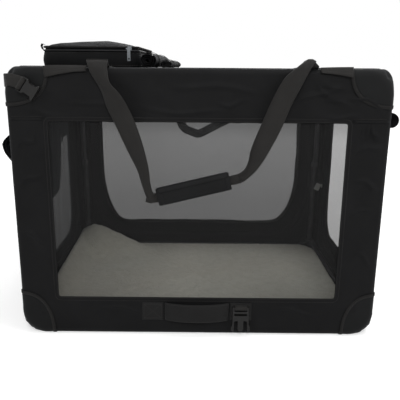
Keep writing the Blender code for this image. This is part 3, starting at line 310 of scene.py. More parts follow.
def bead(bm, centres, outs, radii, high, closed=False, corners=6):
    """A cord or a zip's teeth along a path: the half widths follow each other in turn."""
    angles = [2 * pi * (k + 0.5) / corners for k in range(corners)]
    rings = []
    for i, (centre, out, along) in enumerate(zip(centres, each(outs, centres), headings(centres, closed))):
        side = along.cross(out).normalized() * radii[i % len(radii)]
        rings.append([centre + side * cos(angle) + out * (high / 2 * (1 + sin(angle))) for angle in angles])
    swept(bm, rings, [k / corners * 0.006 for k in range(corners + 1)], centres, closed)


STITCH_PITCH, STITCH_LONG, STITCH_HALF, STITCH_HIGH = 0.0044, 0.0030, 0.0005, 0.0005


def stitches(bm, centres, outs, closed=False, pitch=STITCH_PITCH, long=STITCH_LONG):
    """Thread along a path: a row of small raised stitches."""
    path, outs = spaced(centres, pitch, closed), each(outs, centres)
    for i in range(len(path) if closed else len(path) - 1):
        start, end = path[i], path[(i + 1) % len(path)]
        along = (end - start).normalized()
        out = min(zip(centres, outs), key=lambda pair: (pair[0] - start).length_squared)[1]
        side = along.cross(out).normalized() * STITCH_HALF
        tip = start + along * long
        base = [bm.verts.new(p) for p in (start - side, start + side, tip + side, tip - side)]
        ridge = [bm.verts.new(p + out * STITCH_HIGH) for p in (start.lerp(tip, 0.2), start.lerp(tip, 0.8))]
        for corners in ((base[0], base[1], ridge[0]), (base[2], base[3], ridge[1]),
                        (base[1], base[2], ridge[1], ridge[0]), (base[3], base[0], ridge[0], ridge[1]), base[::-1]):
            bm.faces.new(corners)


def box_stitch(bm, corners, out):
    """A square of stitches with a cross in it."""
    points = [Vector(c) for c in corners]
    for near, far in ((0, 1), (1, 2), (2, 3), (3, 0), (0, 2), (1, 3)):
        stitches(bm, spaced([points[near], points[far]], 0.004), out, pitch=0.0030, long=0.0021)


# Finishes.

def add_node(tree, kind, sockets=(), **settings):
    """A new node with its settings and its input sockets."""
    made = tree.nodes.new(kind)
    for name, value in settings.items():
        setattr(made, name, value)
    fill(tree, made, sockets)
    return made


def fill(tree, made, sockets):
    """Gives a node's input sockets their values, or links them to the outputs of other nodes."""
    for key, value in dict(sockets).items():
        if isinstance(value, bpy.types.NodeSocket):
            tree.links.new(value, made.inputs[key])
        else:
            made.inputs[key].default_value = value


def maths(tree, operation, *values):
    """One step of arithmetic."""
    return add_node(tree, "ShaderNodeMath", enumerate(values), operation=operation).outputs[0]


def mix(tree, share, low, high, **settings):
    """A mix of two colours."""
    return add_node(tree, "ShaderNodeMix", {0: share, 6: low, 7: high}, data_type="RGBA", **settings).outputs[2]


def ranged(tree, value, low, high, start=0.0, end=1.0):
    """A value stretched from one range to another."""
    sockets = {"Value": value, "From Min": start, "From Max": end, "To Min": low, "To Max": high}
    return add_node(tree, "ShaderNodeMapRange", sockets).outputs["Result"]


class Look:
    """A Principled material of one colour, built up from patterns."""

    def __init__(self, name, colour, roughness, **more):
        self.material = bpy.data.materials.new(name)
        self.material.use_nodes = True
        self.tree = self.material.node_tree
        self.shader = self.tree.nodes["Principled BSDF"]
        self.colour, self.roughness, self.height = colour, roughness, None
        self.coords = add_node(self.tree, "ShaderNodeTexCoord")
        self.set({"Base Color": (*colour, 1), "Roughness": roughness})
        self.set({name.replace("_", " "): value for name, value in more.items()})

    def set(self, sockets):
        """Sets inputs of the material."""
        fill(self.tree, self.shader, sockets)

    def pattern(self, kind, size, detail=2.0):
        """Noise of a scale on the object, or bands with a period in metres on the UV map."""
        if kind == "noise":
            sockets = {"Vector": self.coords.outputs["Object"], "Scale": size, "Detail": detail}
            return add_node(self.tree, "ShaderNodeTexNoise", sockets).outputs["Fac"]
        sockets = {"Vector": self.coords.outputs["UV"], "Scale": pi / 10 / size}
        return add_node(self.tree, "ShaderNodeTexWave", sockets, bands_direction=kind).outputs["Fac"]

    def raise_by(self, amount, pattern):
        """Adds a pattern to the relief, with its height in metres."""
        part = maths(self.tree, "MULTIPLY", pattern, amount)
        self.height = part if self.height is None else maths(self.tree, "ADD", self.height, part)

    def dyed(self, pattern, low, high):
        """The colour, from a darker to a lighter share of it."""
        ends = [(*(part * share for part in self.colour), 1) for share in (low, high)]
        return mix(self.tree, pattern, *ends)

    def finish(self, strength):
        """Turns the relief into bumps, and gives the material."""
        bump = add_node(self.tree, "ShaderNodeBump", {"Strength": strength, "Distance": 1.0, "Height": self.height})
        self.set({"Normal": bump.outputs["Normal"]})
        return self.material


def plain_look(look, strength, relief, dye, polish=None):
    """Finishes a look: its relief, the range of its colour and the range of its roughness, each with a pattern."""
    for amount, *pattern in relief:
        look.raise_by(amount, look.pattern(*pattern))
    low, high, *pattern = dye
    look.set({"Base Color": look.dyed(look.pattern(*pattern), low, high)})
    if polish:
        less, more, *pattern = polish
        look.set({"Roughness": ranged(look.tree, look.pattern(*pattern), look.roughness - less, look.roughness + more)})
    return look.finish(strength)


def woven(name, colour, roughness, period, sheen):
    """Plain woven cloth: threads both ways, uneven dye, and the soft shine of its fibres."""
    look = Look(name, colour, roughness, Specular_IOR_Level=0.08, Sheen_Weight=sheen, Sheen_Roughness=0.45,
                Sheen_Tint=(0.75, 0.80, 0.90, 1))
    relief = ((0.00006, "X", period), (0.00006, "Y", period * 1.1), (0.00008, "noise", 900, 3),
              (0.0009, "noise", 60, 3))
    return plain_look(look, 0.6, relief, (0.66, 1.34, "noise", 14, 4), (0.08, 0.08, "noise", 30, 3))


def ribbed(name, colour, roughness, rib, sheen):
    """Webbing: ribs along its length crossed by the weft."""
    look = Look(name, colour, roughness, Specular_IOR_Level=0.13, Sheen_Weight=sheen, Sheen_Roughness=0.5)
    relief = ((0.00018, "X", rib), (0.00016, "Y", rib * 0.7), (0.00008, "DIAGONAL", rib * 2.2),
              (0.0003, "noise", 120, 3))
    return plain_look(look, 0.8, relief, (0.75, 1.3, "noise", 45, 4))


def netting(name, colour, alpha, folds=0.15):
    """Fine open mesh: its holes are in one plain alpha and its threads in the relief; the light and shade of its slack
    folds are painted into the colour as upright streaks.
    """
    look = Look(name, colour, 0.8, Alpha=alpha, Specular_IOR_Level=0.1)
    for direction in "XY":
        look.raise_by(0.00001, look.pattern(direction, 0.0016))
    upright = add_node(look.tree, "ShaderNodeMapping",
                       {"Vector": look.coords.outputs["Object"], "Scale": (1.0, 1.0, 0.12)}).outputs["Vector"]
    # Painted light and shade of the slack folds: upright streaks in the colour, as strong as folds says.
    painted_fold_streaks = add_node(look.tree, "ShaderNodeTexNoise", {"Vector": upright, "Scale": 34.0, "Detail": 2.0})
    look.set({"Base Color": look.dyed(painted_fold_streaks.outputs["Fac"], 1 - folds, 1 + folds)})
    return look.finish(0.1)


def moulded(name, colour, roughness, gloss=0.5):
    """Moulded nylon with a fine spark texture and slightly polished high places."""
    return plain_look(Look(name, colour, roughness, Specular_IOR_Level=gloss), 0.4, ((0.00004, "noise", 1500),),
                      (0.8, 1.35, "noise", 70, 3), (0.1, 0.1, "noise", 160, 3))


def coated(name, colour, roughness):
    """Powder coated steel tube with a fine orange peel."""
    return plain_look(Look(name, colour, roughness), 0.5, ((0.00006, "noise", 700),),
                      (0.7, 1.4, "noise", 40, 4), (0.08, 0.12, "noise", 90, 3))


def cast(name, colour, roughness):
    """Cast zinc with a tumbled surface, dull in its hollows."""
    return plain_look(Look(name, colour, roughness, Metallic=1.0), 0.5, ((0.00005, "noise", 1100),),
                      (0.6, 1.1, "noise", 220, 4), (0.1, 0.2, "noise", 320, 3))


def fleece(name, colour):
    """Short curly pile: clumps and curls in the relief, shade between them, and a strong soft sheen."""
    look = Look(name, colour, 0.95, Sheen_Weight=0.25, Sheen_Roughness=0.6)
    curls = add_node(look.tree, "ShaderNodeTexVoronoi", {"Vector": look.coords.outputs["Object"], "Scale": 260.0})
    for amount, pattern in ((-0.0014, curls.outputs["Distance"]), (0.0012, look.pattern("noise", 420, 4)),
                            (0.0030, look.pattern("noise", 90, 3))):
        look.raise_by(amount, pattern)
    tint = mix(look.tree, look.pattern("noise", 5, 2), (1.0, 0.93, 0.80, 1), (0.90, 1.0, 0.95, 1))
    clumps = look.dyed(look.pattern("noise", 70, 5), 0.82, 1.12)
    look.set({"Base Color": mix(look.tree, 0.35, clumps, tint, blend_type="MULTIPLY")})
    return look.finish(0.9)


COVER = woven("black_oxford_cloth", (0.0046, 0.0046, 0.0048), 0.70, 0.0008, 0.024)
PATCH = woven("coated_corner_cloth", (0.0050, 0.0052, 0.0053), 0.62, 0.0008, 0.026)
ROLL = woven("rolled_cover_cloth", (0.0040, 0.0041, 0.0044), 0.74, 0.0008, 0.018)
BAG = woven("bag_cloth", (0.0030, 0.0031, 0.0033), 0.72, 0.0008, 0.012)
PAD_CLOTH = woven("strap_pad_cloth", (0.0058, 0.0059, 0.0061), 0.62, 0.0009, 0.04)
BINDING = ribbed("binding_tape", (0.0055, 0.0052, 0.0050), 0.74, 0.0011, 0.03)
WEBBING = ribbed("black_webbing", (0.0094, 0.0088, 0.0082), 0.68, 0.0016, 0.04)
HANDLE_WEBBING = ribbed("handle_webbing", (0.0050, 0.0049, 0.0049), 0.70, 0.0016, 0.03)
THREAD = ribbed("sewing_thread", (0.0150, 0.0140, 0.0135), 0.75, 0.0004, 0.04)
# The window nets are one netting, given a colour and alpha each to paint the light that falls on it: the right net is
# painted lighter for the outside light on it, and the left is painted dark and nearly opaque for the shade behind it,
# with strong painted fold streaks.
FRONT_NET = netting("front_window_net", (0.012, 0.012, 0.012), 0.57)
REAR_NET = netting("rear_window_net", (0.040, 0.041, 0.042), 0.78)
LEFT_NET = netting("left_window_net", (0.046, 0.050, 0.055), 0.93, folds=0.75)
RIGHT_NET = netting("right_window_net", (0.100, 0.096, 0.098), 0.42)
ROLLED_NET = netting("rolled_net", (0.010, 0.010, 0.0105), 1.0)
COIL = moulded("zip_coil_nylon", (0.0080, 0.0080, 0.0085), 0.50, 0.14)
NYLON = moulded("buckle_nylon", (0.0070, 0.0068, 0.0066), 0.40, 0.20)
HUB_NYLON = moulded("connector_nylon", (0.022, 0.022, 0.023), 0.50)
# The inner pull is zinc; its shine is painted into a light grey colour instead of being reflected.
PULL_PAINTED_SHINE = moulded("zinc_pull_painted_shine", (0.52, 0.52, 0.50), 0.45)
STEEL = coated("powder_coated_steel", (0.030, 0.030, 0.032), 0.42)
ZINC = cast("zip_zinc", (0.15, 0.16, 0.17), 0.46)
FLEECE = fleece("cream_fleece", (0.67, 0.65, 0.58))

Door = namedtuple("Door", "side point half corner window_half window_corner wall_seed seed net counts")
DOORS = (
    Door("rear", rear_point, LENGTH / 2, (0.100, 0.180), 0.275, (0.067, 0.140), 11.0, 21.0, REAR_NET, COUNTS),
    Door("left", left_point, DEPTH / 2, (0.090, 0.100), 0.160, (0.055, 0.060), 13.0, 23.0, LEFT_NET, END_COUNTS),
    Door("right", right_point, DEPTH / 2, (0.090, 0.100), 0.160, (0.055, 0.060), 17.0, 27.0, RIGHT_NET, END_COUNTS),
)


# The cover: six panels of cloth, sewn edge to edge round the tubes.

def wrinkled(point, from_edge, from_opening, seed, height):
    """How far the cloth stands off its flat at a place: creases that fade at seams and hems."""
    free = ease((from_edge - 0.018) / 0.03) * ease(from_opening / 0.022)
    broad = rumple((point.x, point.y, 1.5 * point.z), 0.085, seed)
    slanted = rumple((point.x + point.z, point.y, 0.35 * (point.z - point.x)), 0.030, seed + 3)
    fine = rumple(point, 0.013, seed + 7)
    edge = 0.00035 * abs(rumple(point, 0.05, seed + 11)) * ease(from_edge / 0.01)
    return free * height * (0.9 * broad + 0.35 * slanted + 0.10 * fine) + edge


def panel(point, half_u, low, high, opening, seed, counts, steps, height=0.0020, sag=None):
    """One side of the cover, from its seams over its rounded edges to its opening."""
    loops = [rectangle(-half_u + inset, half_u - inset, low + inset, high - inset, counts) for inset in EDGE_INSETS]
    loops += [blend(loops[-1], opening, k / steps) for k in range(1, steps + 1)]
    rings = []
    for loop in loops:
        ring = []
        for (u, v), end in zip(loop, opening):
            spot = point(u, v)
            from_edge = min(half_u - abs(u), v - low, high - v)
            from_opening = hypot(u - end[0], v - end[1])
            depth = -wrinkled(spot, from_edge, from_opening, seed, height)
            if sag:
                depth += sag(u, v, from_edge, from_opening)
            ring.append(on_cover(spot, depth))
        rings.append(ring)
    return loft_loops(loops, rings)

# Creases of the front: one end, the other end, their height and their half width.
FRONT_CREASES = (
    ((0.205, 0.508), (0.262, 0.476), 0.0022, 0.0060), ((0.262, 0.476), (0.338, 0.452), 0.0020, 0.0070),
    ((0.200, 0.498), (0.275, 0.446), 0.0024, 0.0070), ((0.150, 0.452), (0.268, 0.500), 0.0018, 0.0075),
    ((0.090, 0.462), (0.030, 0.456), 0.0014, 0.0080), ((0.215, 0.440), (0.300, 0.433), 0.0016, 0.0060),
    ((-0.060, 0.492), (0.120, 0.480), 0.0013, 0.0090), ((-0.110, 0.447), (0.060, 0.441), 0.0012, 0.0080),
    ((-0.255, 0.470), (-0.150, 0.447), 0.0014, 0.0075), ((-0.335, 0.442), (-0.240, 0.437), 0.0013, 0.0070),
    ((0.285, 0.415), (0.340, 0.398), 0.0024, 0.0080), ((0.282, 0.372), (0.342, 0.386), 0.0022, 0.0090),
    ((0.288, 0.322), (0.345, 0.300), 0.0018, 0.0090), ((0.284, 0.250), (0.340, 0.268), 0.0014, 0.0090),
    ((-0.342, 0.372), (-0.288, 0.398), 0.0018, 0.0080), ((-0.345, 0.300), (-0.290, 0.330), 0.0015, 0.0090),
    ((-0.340, 0.215), (-0.292, 0.190), 0.0014, 0.0090), ((0.300, 0.180), (0.345, 0.150), 0.0014, 0.0090),
    ((-0.200, 0.060), (-0.100, 0.048), 0.0012, 0.0070), ((0.140, 0.058), (0.250, 0.046), 0.0012, 0.0070),
)


CREASE_GAIN = 2.6


def creased(u, v, creases):
    """The height of the drawn creases at a place: each is a soft ridge that thins out at its ends."""
    height = 0.0
    for (au, av), (bu, bv), high, half in creases:
        span = (bu - au) ** 2 + (bv - av) ** 2
        share = ((u - au) * (bu - au) + (v - av) * (bv - av)) / span
        bend = 0.004 * sin(7 * share + 40 * au)
        away = ((u - au) * (bv - av) - (v - av) * (bu - au)) / sqrt(span) + bend
        if 0 < share < 1 and abs(away) < half:
            rise = 1 - abs(away) / half
            height += CREASE_GAIN * high * rise * rise * (1.6 - 0.6 * rise) * sin(pi * share)
    return height


def front_panel():
    """The front with its window and its drawn creases."""
    hole = outline(FRONT_WINDOW, FRONT_CORNER, counts=FRONT_COUNTS)

    def creases(u, v, from_edge, from_opening):
        """The drawn creases, which fade at the seams and the hem."""
        return -creased(u, v, FRONT_CREASES) * ease((from_edge - 0.008) / 0.012) * ease(from_opening / 0.012)

    bm, _ = panel(front_point, LENGTH / 2, 0, HEIGHT, hole, 2.0, FRONT_COUNTS, 24, 0.0026, creases)
    made = add_piece("front_cover", bm, COVER, "base", 0, ["front_wall"], CENTRE, CLOTH)


def door_edges(door, high):
    """A door's opening, up to the given height."""
    side = door.half - DOOR_EDGE_INSET
    return -side, side, DOOR_LOW, high


def wall_panel(door):
    """A wall with the opening of its door, and the taped seam that the door hangs from."""
    left, right, low, high = edges = door_edges(door, HINGE_HEIGHT)
    hole = outline(edges, door.corner, "top", DOOR_GAP, door.counts)
    bm, _ = panel(door.point, door.half, 0, HEIGHT, hole, door.wall_seed, door.counts, 5)
    made = add_piece(door.side + "_cover", bm, COVER, "base", 0, [door.side + "_wall"], CENTRE, CLOTH)
    seam, thread = bmesh.new(), bmesh.new()
    line = flat_route([(left - 0.004, high + 0.0062), (right + 0.004, high + 0.0062)])
    tape(seam, *on_face(door.point, line, 0.0003), *HINGE_TAPE)
    tape(seam, *under_face(door.point, line, 0.0004), *HINGE_TAPE)
    stitches(thread, *on_face(door.point, line, 0.0011))
    add_piece(door.side + "_hinge_seam", seam, BINDING, "base", 0)
    add_piece(door.side + "_hinge_stitching", thread, THREAD, "base", 0)


def roof_and_base():
    """The roof with its opening and its slack, and the base."""
    half_u, half_v = LENGTH / 2, DEPTH / 2

    def slack(u, v, from_edge, from_opening):
        """How far the roof hangs through between its tubes."""
        return 0.0016 * ease((from_edge - 0.02) / 0.06) * ease(from_opening / 0.04)

    hole = outline(ROOF_OPENING, ROOF_CORNER, "left", counts=ROOF_COUNTS)
    bm, _ = panel(roof_point, half_u, -half_v, half_v, hole, 5.0, ROOF_COUNTS, 16, 0.0014, slack)
    made = add_piece("roof_cover", bm, COVER, "top_frame", None, ["roof_panel"], CENTRE, CLOTH)

    middle = [(u * 0.04, v * 0.04) for u, v in rectangle(-half_u, half_u, -half_v, half_v, ROOF_COUNTS)]
    bm, verts = panel(base_point, half_u, -half_v, half_v, middle, 9.0, ROOF_COUNTS, 14, 0.0)
    bm.faces.new(verts[-1])
    made = add_piece("base_cover", bm, COVER, "base", None, ["base_panel"], CENTRE, CLOTH)


def net(name, point, edges, corner, sharp, node, body, fold, look):
    """A window's mesh, tight in its hem, with the slight waves that netting keeps."""
    left, right, low, high = edges
    shape = outline(edges, corner, sharp, NET_LAP, (30, 18))
    middle = [((left + right) / 2, (low + high) / 2)] * len(shape)
    shares = [k / 14 for k in range(15)]
    loops = [blend(shape, middle, 0.97 * share) for share in shares]
    rings = [[on_cover(spot, NET_DEPTH + ease(share / 0.25) * 0.0016 * (rumple(spot, 0.11, 4.0) + 0.4))
              for spot in (point(u, v) for u, v in loop)] for share, loop in zip(shares, loops)]
    bm, verts = loft_loops(loops, rings)
    bm.faces.new(verts[-1])
    made = add_piece(name, bm, look, body, fold, [node], CENTRE)


def front_trim():
    """The window's hem, the seam under the upper band and their stitching."""
    left, right, _, high = FRONT_WINDOW

    def hem_line(by):
        """A line round the window, at a distance from its edge."""
        return flat_route(outline(FRONT_WINDOW, FRONT_CORNER, by=by), True)

    def band_lines(margin, height):
        """Level lines from the crate's edges to both sides of the window."""
        ends = ((-LENGTH / 2 + margin, left - 0.009), (right + 0.009, LENGTH / 2 - margin))
        return [flat_route([(start, height), (end, height)]) for start, end in ends]

    hem, thread = bmesh.new(), bmesh.new()
    tape(hem, *on_face(front_point, hem_line(0.0042), 0.0001), *HEM_TAPE, closed=True)
    for line in band_lines(0.006, high + 0.0035):
        tape(hem, *on_face(front_point, line, 0.0003), *BAND_TAPE)
    add_piece("front_window_hem", hem, COVER, "base", 0)
    for by in (0.0015, 0.0072):
        stitches(thread, *on_face(front_point, hem_line(by), 0.0009), closed=True)
    for line in band_lines(0.010, high + 0.0080):
        stitches(thread, *on_face(front_point, line, 0.0003))
    add_piece("front_stitching", thread, THREAD, "base", 0)


# Corner patches.

PATCH_STEPS, PATCH_ROWS, PATCH_POWER = 14, 12, 2.4


def patch_point(signs, axes, a, b):
    """The point of the sharp box at two distances from one of its corners."""
    corner = Vector([CENTRE[i] + signs[i] * HALF[i] for i in range(3)])
    for axis, away in zip(axes, (a, b)):
        corner[axis] -= signs[axis] * away
    return corner


def pressed_flat(bm):
    """Presses what reaches under the crate against the ground."""
    for vert in bm.verts:
        if vert.co.z < 0:
            vert.co.z *= 0.1


def patch_ring(signs, reaches, share):
    """A line round a corner over its three sides, at a share of the patch's reach."""
    ring = []
    for first, second in ((0, 1), (1, 2), (2, 0)):
        for j in range(PATCH_STEPS):
            angle = pi / 2 * j / PATCH_STEPS
            c, s = cos(angle), sin(angle)
            stretch = share / (c ** PATCH_POWER + s ** PATCH_POWER) ** (1 / PATCH_POWER)
            ring.append(patch_point(signs, (first, second), reaches[first] * c * stretch,
                                    reaches[second] * s * stretch))
    return ring


def corner_patch(name, signs, reaches, body, fold):
    """A piece of stout cloth over one corner of the cover, with a taped edge."""
    rings, spots = [], []
    for k in range(1, PATCH_ROWS + 1):
        spots = patch_ring(signs, reaches, k / PATCH_ROWS)
        folds = ease(1.2 - k / PATCH_ROWS) * 0.0011
        rings.append([on_cover(spot, -0.0010 - folds * max(rumple(spot, 0.016, 6.0 + signs[0]), 0)) for spot in spots])
    outs = [cover_normal(spot) for spot in spots]
    cloth, edge, thread = bmesh.new(), bmesh.new(), bmesh.new()
    verts = loft(cloth, rings, lambda i, j: (j * 0.004, i * 0.006))
    tip = cloth.verts.new(on_cover(patch_point(signs, (0, 1), 0, 0), -0.0012))
    for near, far in zip(verts[0], verts[0][1:] + verts[0][:1]):
        cloth.faces.new((tip, far, near)).smooth = True
    tape(edge, [p + o * 0.0001 for p, o in zip(rings[-1], outs)], outs, *PATCH_TAPE, closed=True)
    stitches(thread, [p.lerp(q, 0.15) + o * 0.0010 for p, q, o in zip(rings[-1], rings[-2], outs)], outs, closed=True)
    for bm, part, look, slot, inside, thickness in (
            (cloth, "", PATCH, "polyester", CENTRE, 0.0008), (edge, "_binding", BINDING, "polyester", None, 0),
            (thread, "_stitching", THREAD, "webbing", None, 0)):
        pressed_flat(bm)
        add_piece(name + part, bm, look, body, fold, (), inside, thickness)


def corner_patches():
    """The patches of all eight corners. The reaches are along the length, the depth and the height."""
    for z, level, reaches, body, fold in ((1, "top", (0.079, 0.074, 0.066), "top_frame", HEIGHT),
                                          (-1, "bottom", (0.062, 0.070, 0.088), "base", 0)):
        for y, depth_name in ((-1, "front"), (1, "rear")):
            for x, side_name in ((-1, "left"), (1, "right")):
                corner_patch(f"{level}_{depth_name}_{side_name}_patch", (x, y, z), reaches, body, fold)


# Doors with their zips.

def zip_path(edges, door, by=0.0, step=TRIM_STEP):
    """The way of a door's zip: down one side, along the bottom and up the other side."""
    route = outline(edges, door.corner, "top", by, door.counts)
    wide, tall = (len(side_places(1.0, count)) for count in door.counts)
    way = route[-tall:] + route[:wide + tall] + [(edges[1] + by, edges[3] + by)]
    return flat_route([(u, min(v, edges[3] - 0.004)) for u, v in way], step=step)


def slack_edge(points, seed):
    """A window's cut edge, pulled a little out of line where the cloth is slack."""
    return [(u + 0.0034 * rumple((u, v, 0), 0.075, seed), v + 0.0034 * rumple((u, v, 0.4), 0.075, seed + 5))
            for u, v in points]


def mesh_door(door):
    """A door of cloth with its window, the bindings on both of its faces, its stitching and its zip."""
    name, point, seed = door.side + "_door", door.point, door.seed
    left, right, _, high = edges = door_edges(door, HINGE_HEIGHT - SEAT)
    window = (-door.window_half, door.window_half, *DOOR_WINDOW)

    def window_line(by=0.0):
        """A line round the window, at a distance from its edge."""
        return slack_edge(outline(window, door.window_corner, "top", by, door.counts), seed)

    shares = [k / 7 for k in range(8)]
    outer, hole = outline(edges, door.corner, "top", counts=door.counts), window_line()
    loops = [blend(outer, hole, share) for share in shares]
    rings = [[on_cover(spot, -sin(pi * share) * (0.0011 * rumple(spot, 0.05, seed) + 0.0002))
              for spot in (point(u, v) for u, v in loop)] for share, loop in zip(shares, loops)]
    made = add_piece(name + "_cloth", loft_loops(loops, rings)[0], COVER, name, HEIGHT, [name], CENTRE,
                     CLOTH)
    net(name + "_net", point, window, door.window_corner, "top", name + "_mesh", name, HEIGHT, door.net)

    trim, inner, thread, teeth = (bmesh.new() for _ in range(4))
    ring, band = flat_route(window_line(0.0045), True), zip_path(edges, door)
    top = flat_route([(left + 0.004, high - 0.005), (right - 0.004, high - 0.005)])
    tape(trim, *on_face(point, ring, 0.0001), *WINDOW_TAPE, closed=True)
    tape(trim, *on_face(point, band, 0.0002), *ZIP_TAPE)
    tape(trim, *on_face(point, top, 0.0002), *TOP_TAPE)
    add_piece(name + "_binding", trim, BINDING, name, HEIGHT)
    tape(inner, *under_face(point, ring, 0.0002), *INNER_WINDOW_TAPE, closed=True)
    tape(inner, *under_face(point, band, 0.0002), *INNER_ZIP_TAPE)
    add_piece(name + "_inner_binding", inner, BINDING, name, HEIGHT)
    for by in (0.0013, 0.0082):
        stitches(thread, *on_face(point, flat_route(window_line(by), True), 0.0009), closed=True)
    for by in (0.0046, -0.0046):
        stitches(thread, *on_face(point, zip_path(edges, door, by), 0.0008))
    stitches(thread, *on_face(point, top, 0.0010))
    add_piece(name + "_stitching", thread, THREAD, name, HEIGHT)
    way = zip_path(edges, door, step=COIL_STEP)
    bead(teeth, *on_face(point, way, 0.0008), DOOR_TEETH, 0.0016)
    add_piece(name + "_zip_coil", teeth, COIL, name, HEIGHT)


# Rolled covers: a spiral of cloth, held by two ties.

# How wide a slack roll is at each depth, as shares of its size.
LEFT_SLACK = ((0.0, 0.34), (0.10, 0.62), (0.30, 1.0), (0.60, 0.84), (1.0, 0.34))
REAR_SLACK = ((0.0, 0.55), (0.25, 0.70), (0.50, 0.88), (0.75, 1.0), (1.0, 1.0))
REAR_SAGS = ((-0.215, 0.014, 0.110), (0.105, 0.009, 0.055), (0.255, 0.006, 0.050))
ROLL_TOP = HINGE_HEIGHT - 0.004
LEFT_LEAD = 0.042
ROLL_START, ROLL_CORE = radians(100), 0.20
ROLL_STATIONS, TURN_STEPS, LEAD_STEPS, TIE_STEPS = 60, 22, 6, 30


def roll_section(a, b, slack):
    """A place of the roll's section: round, or as wide at each depth as the slack cloth is there."""
    if not slack:
        return a, b
    return 0.03 + a * between(slack, min(max(1 - b, 0), 1)), b


def cloth_roll(name, at, along, out, half, size, turns, seed, look, slack=(), flat_under=0.0, sags=(), lead=0.0):
    """A roll of cloth round a straight line: `at` is the top against the wall, in the middle.

    Each sag is its place along the roll, its depth and its half width. The lead is the flat cloth above the roll.
    """
    reach, height = size
    steps = int(turns * TURN_STEPS)
    rows = []
    for i in range(ROLL_STATIONS + 1):
        share = 2 * i / ROLL_STATIONS - 1
        sag = sum(deep / height * ease(1 - abs(half * share - where) / wide) for where, deep, wide in sags)
        row = []
        for k in range(steps + 1):
            grow = ROLL_CORE + (1 - ROLL_CORE) * k / steps
            angle = ROLL_START + 2 * pi * turns * (k / steps - 1)
            a, b = roll_section(0.5 + 0.5 * grow * cos(angle), 0.5 + 0.5 * grow * sin(angle), slack)
            end = half - 0.004 * (1 - grow) - 0.003 * (1 + sin(angle))
            place = at + along * (end * share)
            slump = 1 + (0.10 * rumple(place, 0.07, seed) if slack else 0) + sag
            spot = place + out * (reach * a) - UP * (height * (1 - b) * slump)
            spot += out * (0.0016 * grow * rumple(spot, 0.035, seed + 2))
            spot.z += 0.0018 * grow * rumple(spot, 0.030, seed + 5) * (1 if b < 0.8 else 0.2)
            spot.z = max(spot.z, flat_under)
            row.append(spot)
        if lead:
            top = at + along * (half * share) + out * 0.0022 + UP * lead
            row.extend(spot.lerp(top, k / LEAD_STEPS) for k in range(1, LEAD_STEPS + 1))
        rows.append(row)
    bm = bmesh.new()
    loft(bm, rows, lambda i, j: (i * 2 * half / ROLL_STATIONS, j * 0.005), around=False)
    return piece(name, bm, look, thickness=0.0010), turns * (reach + height) * 1.05 + lead


def tie(bm, at, out, size, along, slack=(), share=1.07):
    """A loop of tape right round a roll."""
    reach, height = size
    centres, outs = [], []
    for k in range(TIE_STEPS):
        c, s = cos(2 * pi * k / TIE_STEPS), sin(2 * pi * k / TIE_STEPS)
        a, b = roll_section(0.5 + 0.5 * share * c, 0.5 + 0.5 * share * s, slack)
        proud = 0.0018 * max(c, 0) if slack else 0
        centres.append(at + out * (reach * a + proud) - UP * (height * (1 - b)))
        outs.append((out * c * height + UP * s * reach).normalized())
    tape(bm, centres, outs, *ROLL_TIE, closed=True, sides=along)


def rolled_covers():
    """The rolled covers of the three doors, each with two ties."""
    for side, at, along, out, half, size, turns, seed, slack, lead, sags, fold in (
            ("left", (-LENGTH / 2 - 0.0012, 0, ROLL_TOP - LEFT_LEAD), AXIS_Y, -AXIS_X, 0.218, (0.0305, 0.064), 2.2,
             3.0, LEFT_SLACK, LEFT_LEAD, (), HEIGHT),
            ("right", (LENGTH / 2 + 0.0010, 0, ROLL_TOP), AXIS_Y, AXIS_X, 0.218, (0.029, 0.030), 3.4,
             8.0, (), 0, (), None),
            ("rear", (0, REAR_Y + 0.0012, ROLL_TOP), AXIS_X, AXIS_Y, 0.308, (0.0265, 0.070), 2.6,
             6.0, REAR_SLACK, 0, REAR_SAGS, HEIGHT)):
        name, body, at = side + "_roll", side + "_door", Vector(at)
        made, width = cloth_roll(name, at, along, out, half, size, turns, seed, ROLL, slack, sags=sags, lead=lead)
        dress(made, body, fold, [f"rolled_{side}_cover"])
        ties = bmesh.new()
        for end in (-1, 1):
            tie(ties, at + along * (end * half * 0.56), out, size, along, slack)
        add_piece(name + "_ties", ties, WEBBING, body, fold)


def rear_tie_loop():
    """The loose loop that hangs into the rear window."""
    route = [(-0.058, 0.379), (-0.050, 0.362), (-0.044, 0.354), (-0.036, 0.349), (-0.008, 0.3385), (-0.002, 0.3385),
             (0.004, 0.341), (0.060, 0.370), (0.085, 0.382)]
    loop = bmesh.new()
    tape(loop, spaced([(u, REAR_Y + 0.0060 + 0.004 * sin(30 * u), v) for u, v in route], 0.004), AXIS_Y, *LOOSE_LOOP)
    add_piece("rear_tie_loop", loop, ROLL, "rear_door", HEIGHT)


# The slack end of the left cover: how far to the rear it reaches at each height, and its size.
DROOP_REAR = ((0.204, 0.010), (0.208, 0.046), (0.220, 0.090), (0.250, 0.106), (0.300, 0.116), (0.338, 0.117),
              (0.362, 0.100), (0.380, 0.080), (0.420, 0.070))
DROOP_TOP, DROOP_FRONT, DROOP_SIZE = 0.404, -0.205, (0.320, 0.200)


def left_cover_droop():
    """The cloth that hangs out of the left roll."""
    rows = []
    for i in range(27):
        down = i / 26
        z = DROOP_TOP - DROOP_SIZE[1] * down
        wide = between(DROOP_REAR, z) - DROOP_FRONT
        row = []
        for j in range(31):
            y = DROOP_FRONT + wide * j / 30
            bulge = 0.0062 + 0.0045 * rumple((0, y, 0.3 * z), 0.034, 12.0) + 0.003 * down
            row.append(Vector((-LENGTH / 2 - 0.0012 - bulge, y, z - 0.004 * down * rumple((0, y, 0), 0.06, 2.0))))
        rows.append(row)
    bm = bmesh.new()
    loft(bm, rows, lambda i, j: (j * 0.0085, i * 0.0069), around=False)
    made = add_piece("left_cover_droop", bm, ROLL, "left_door", HEIGHT, (), CENTRE, 0.0010)


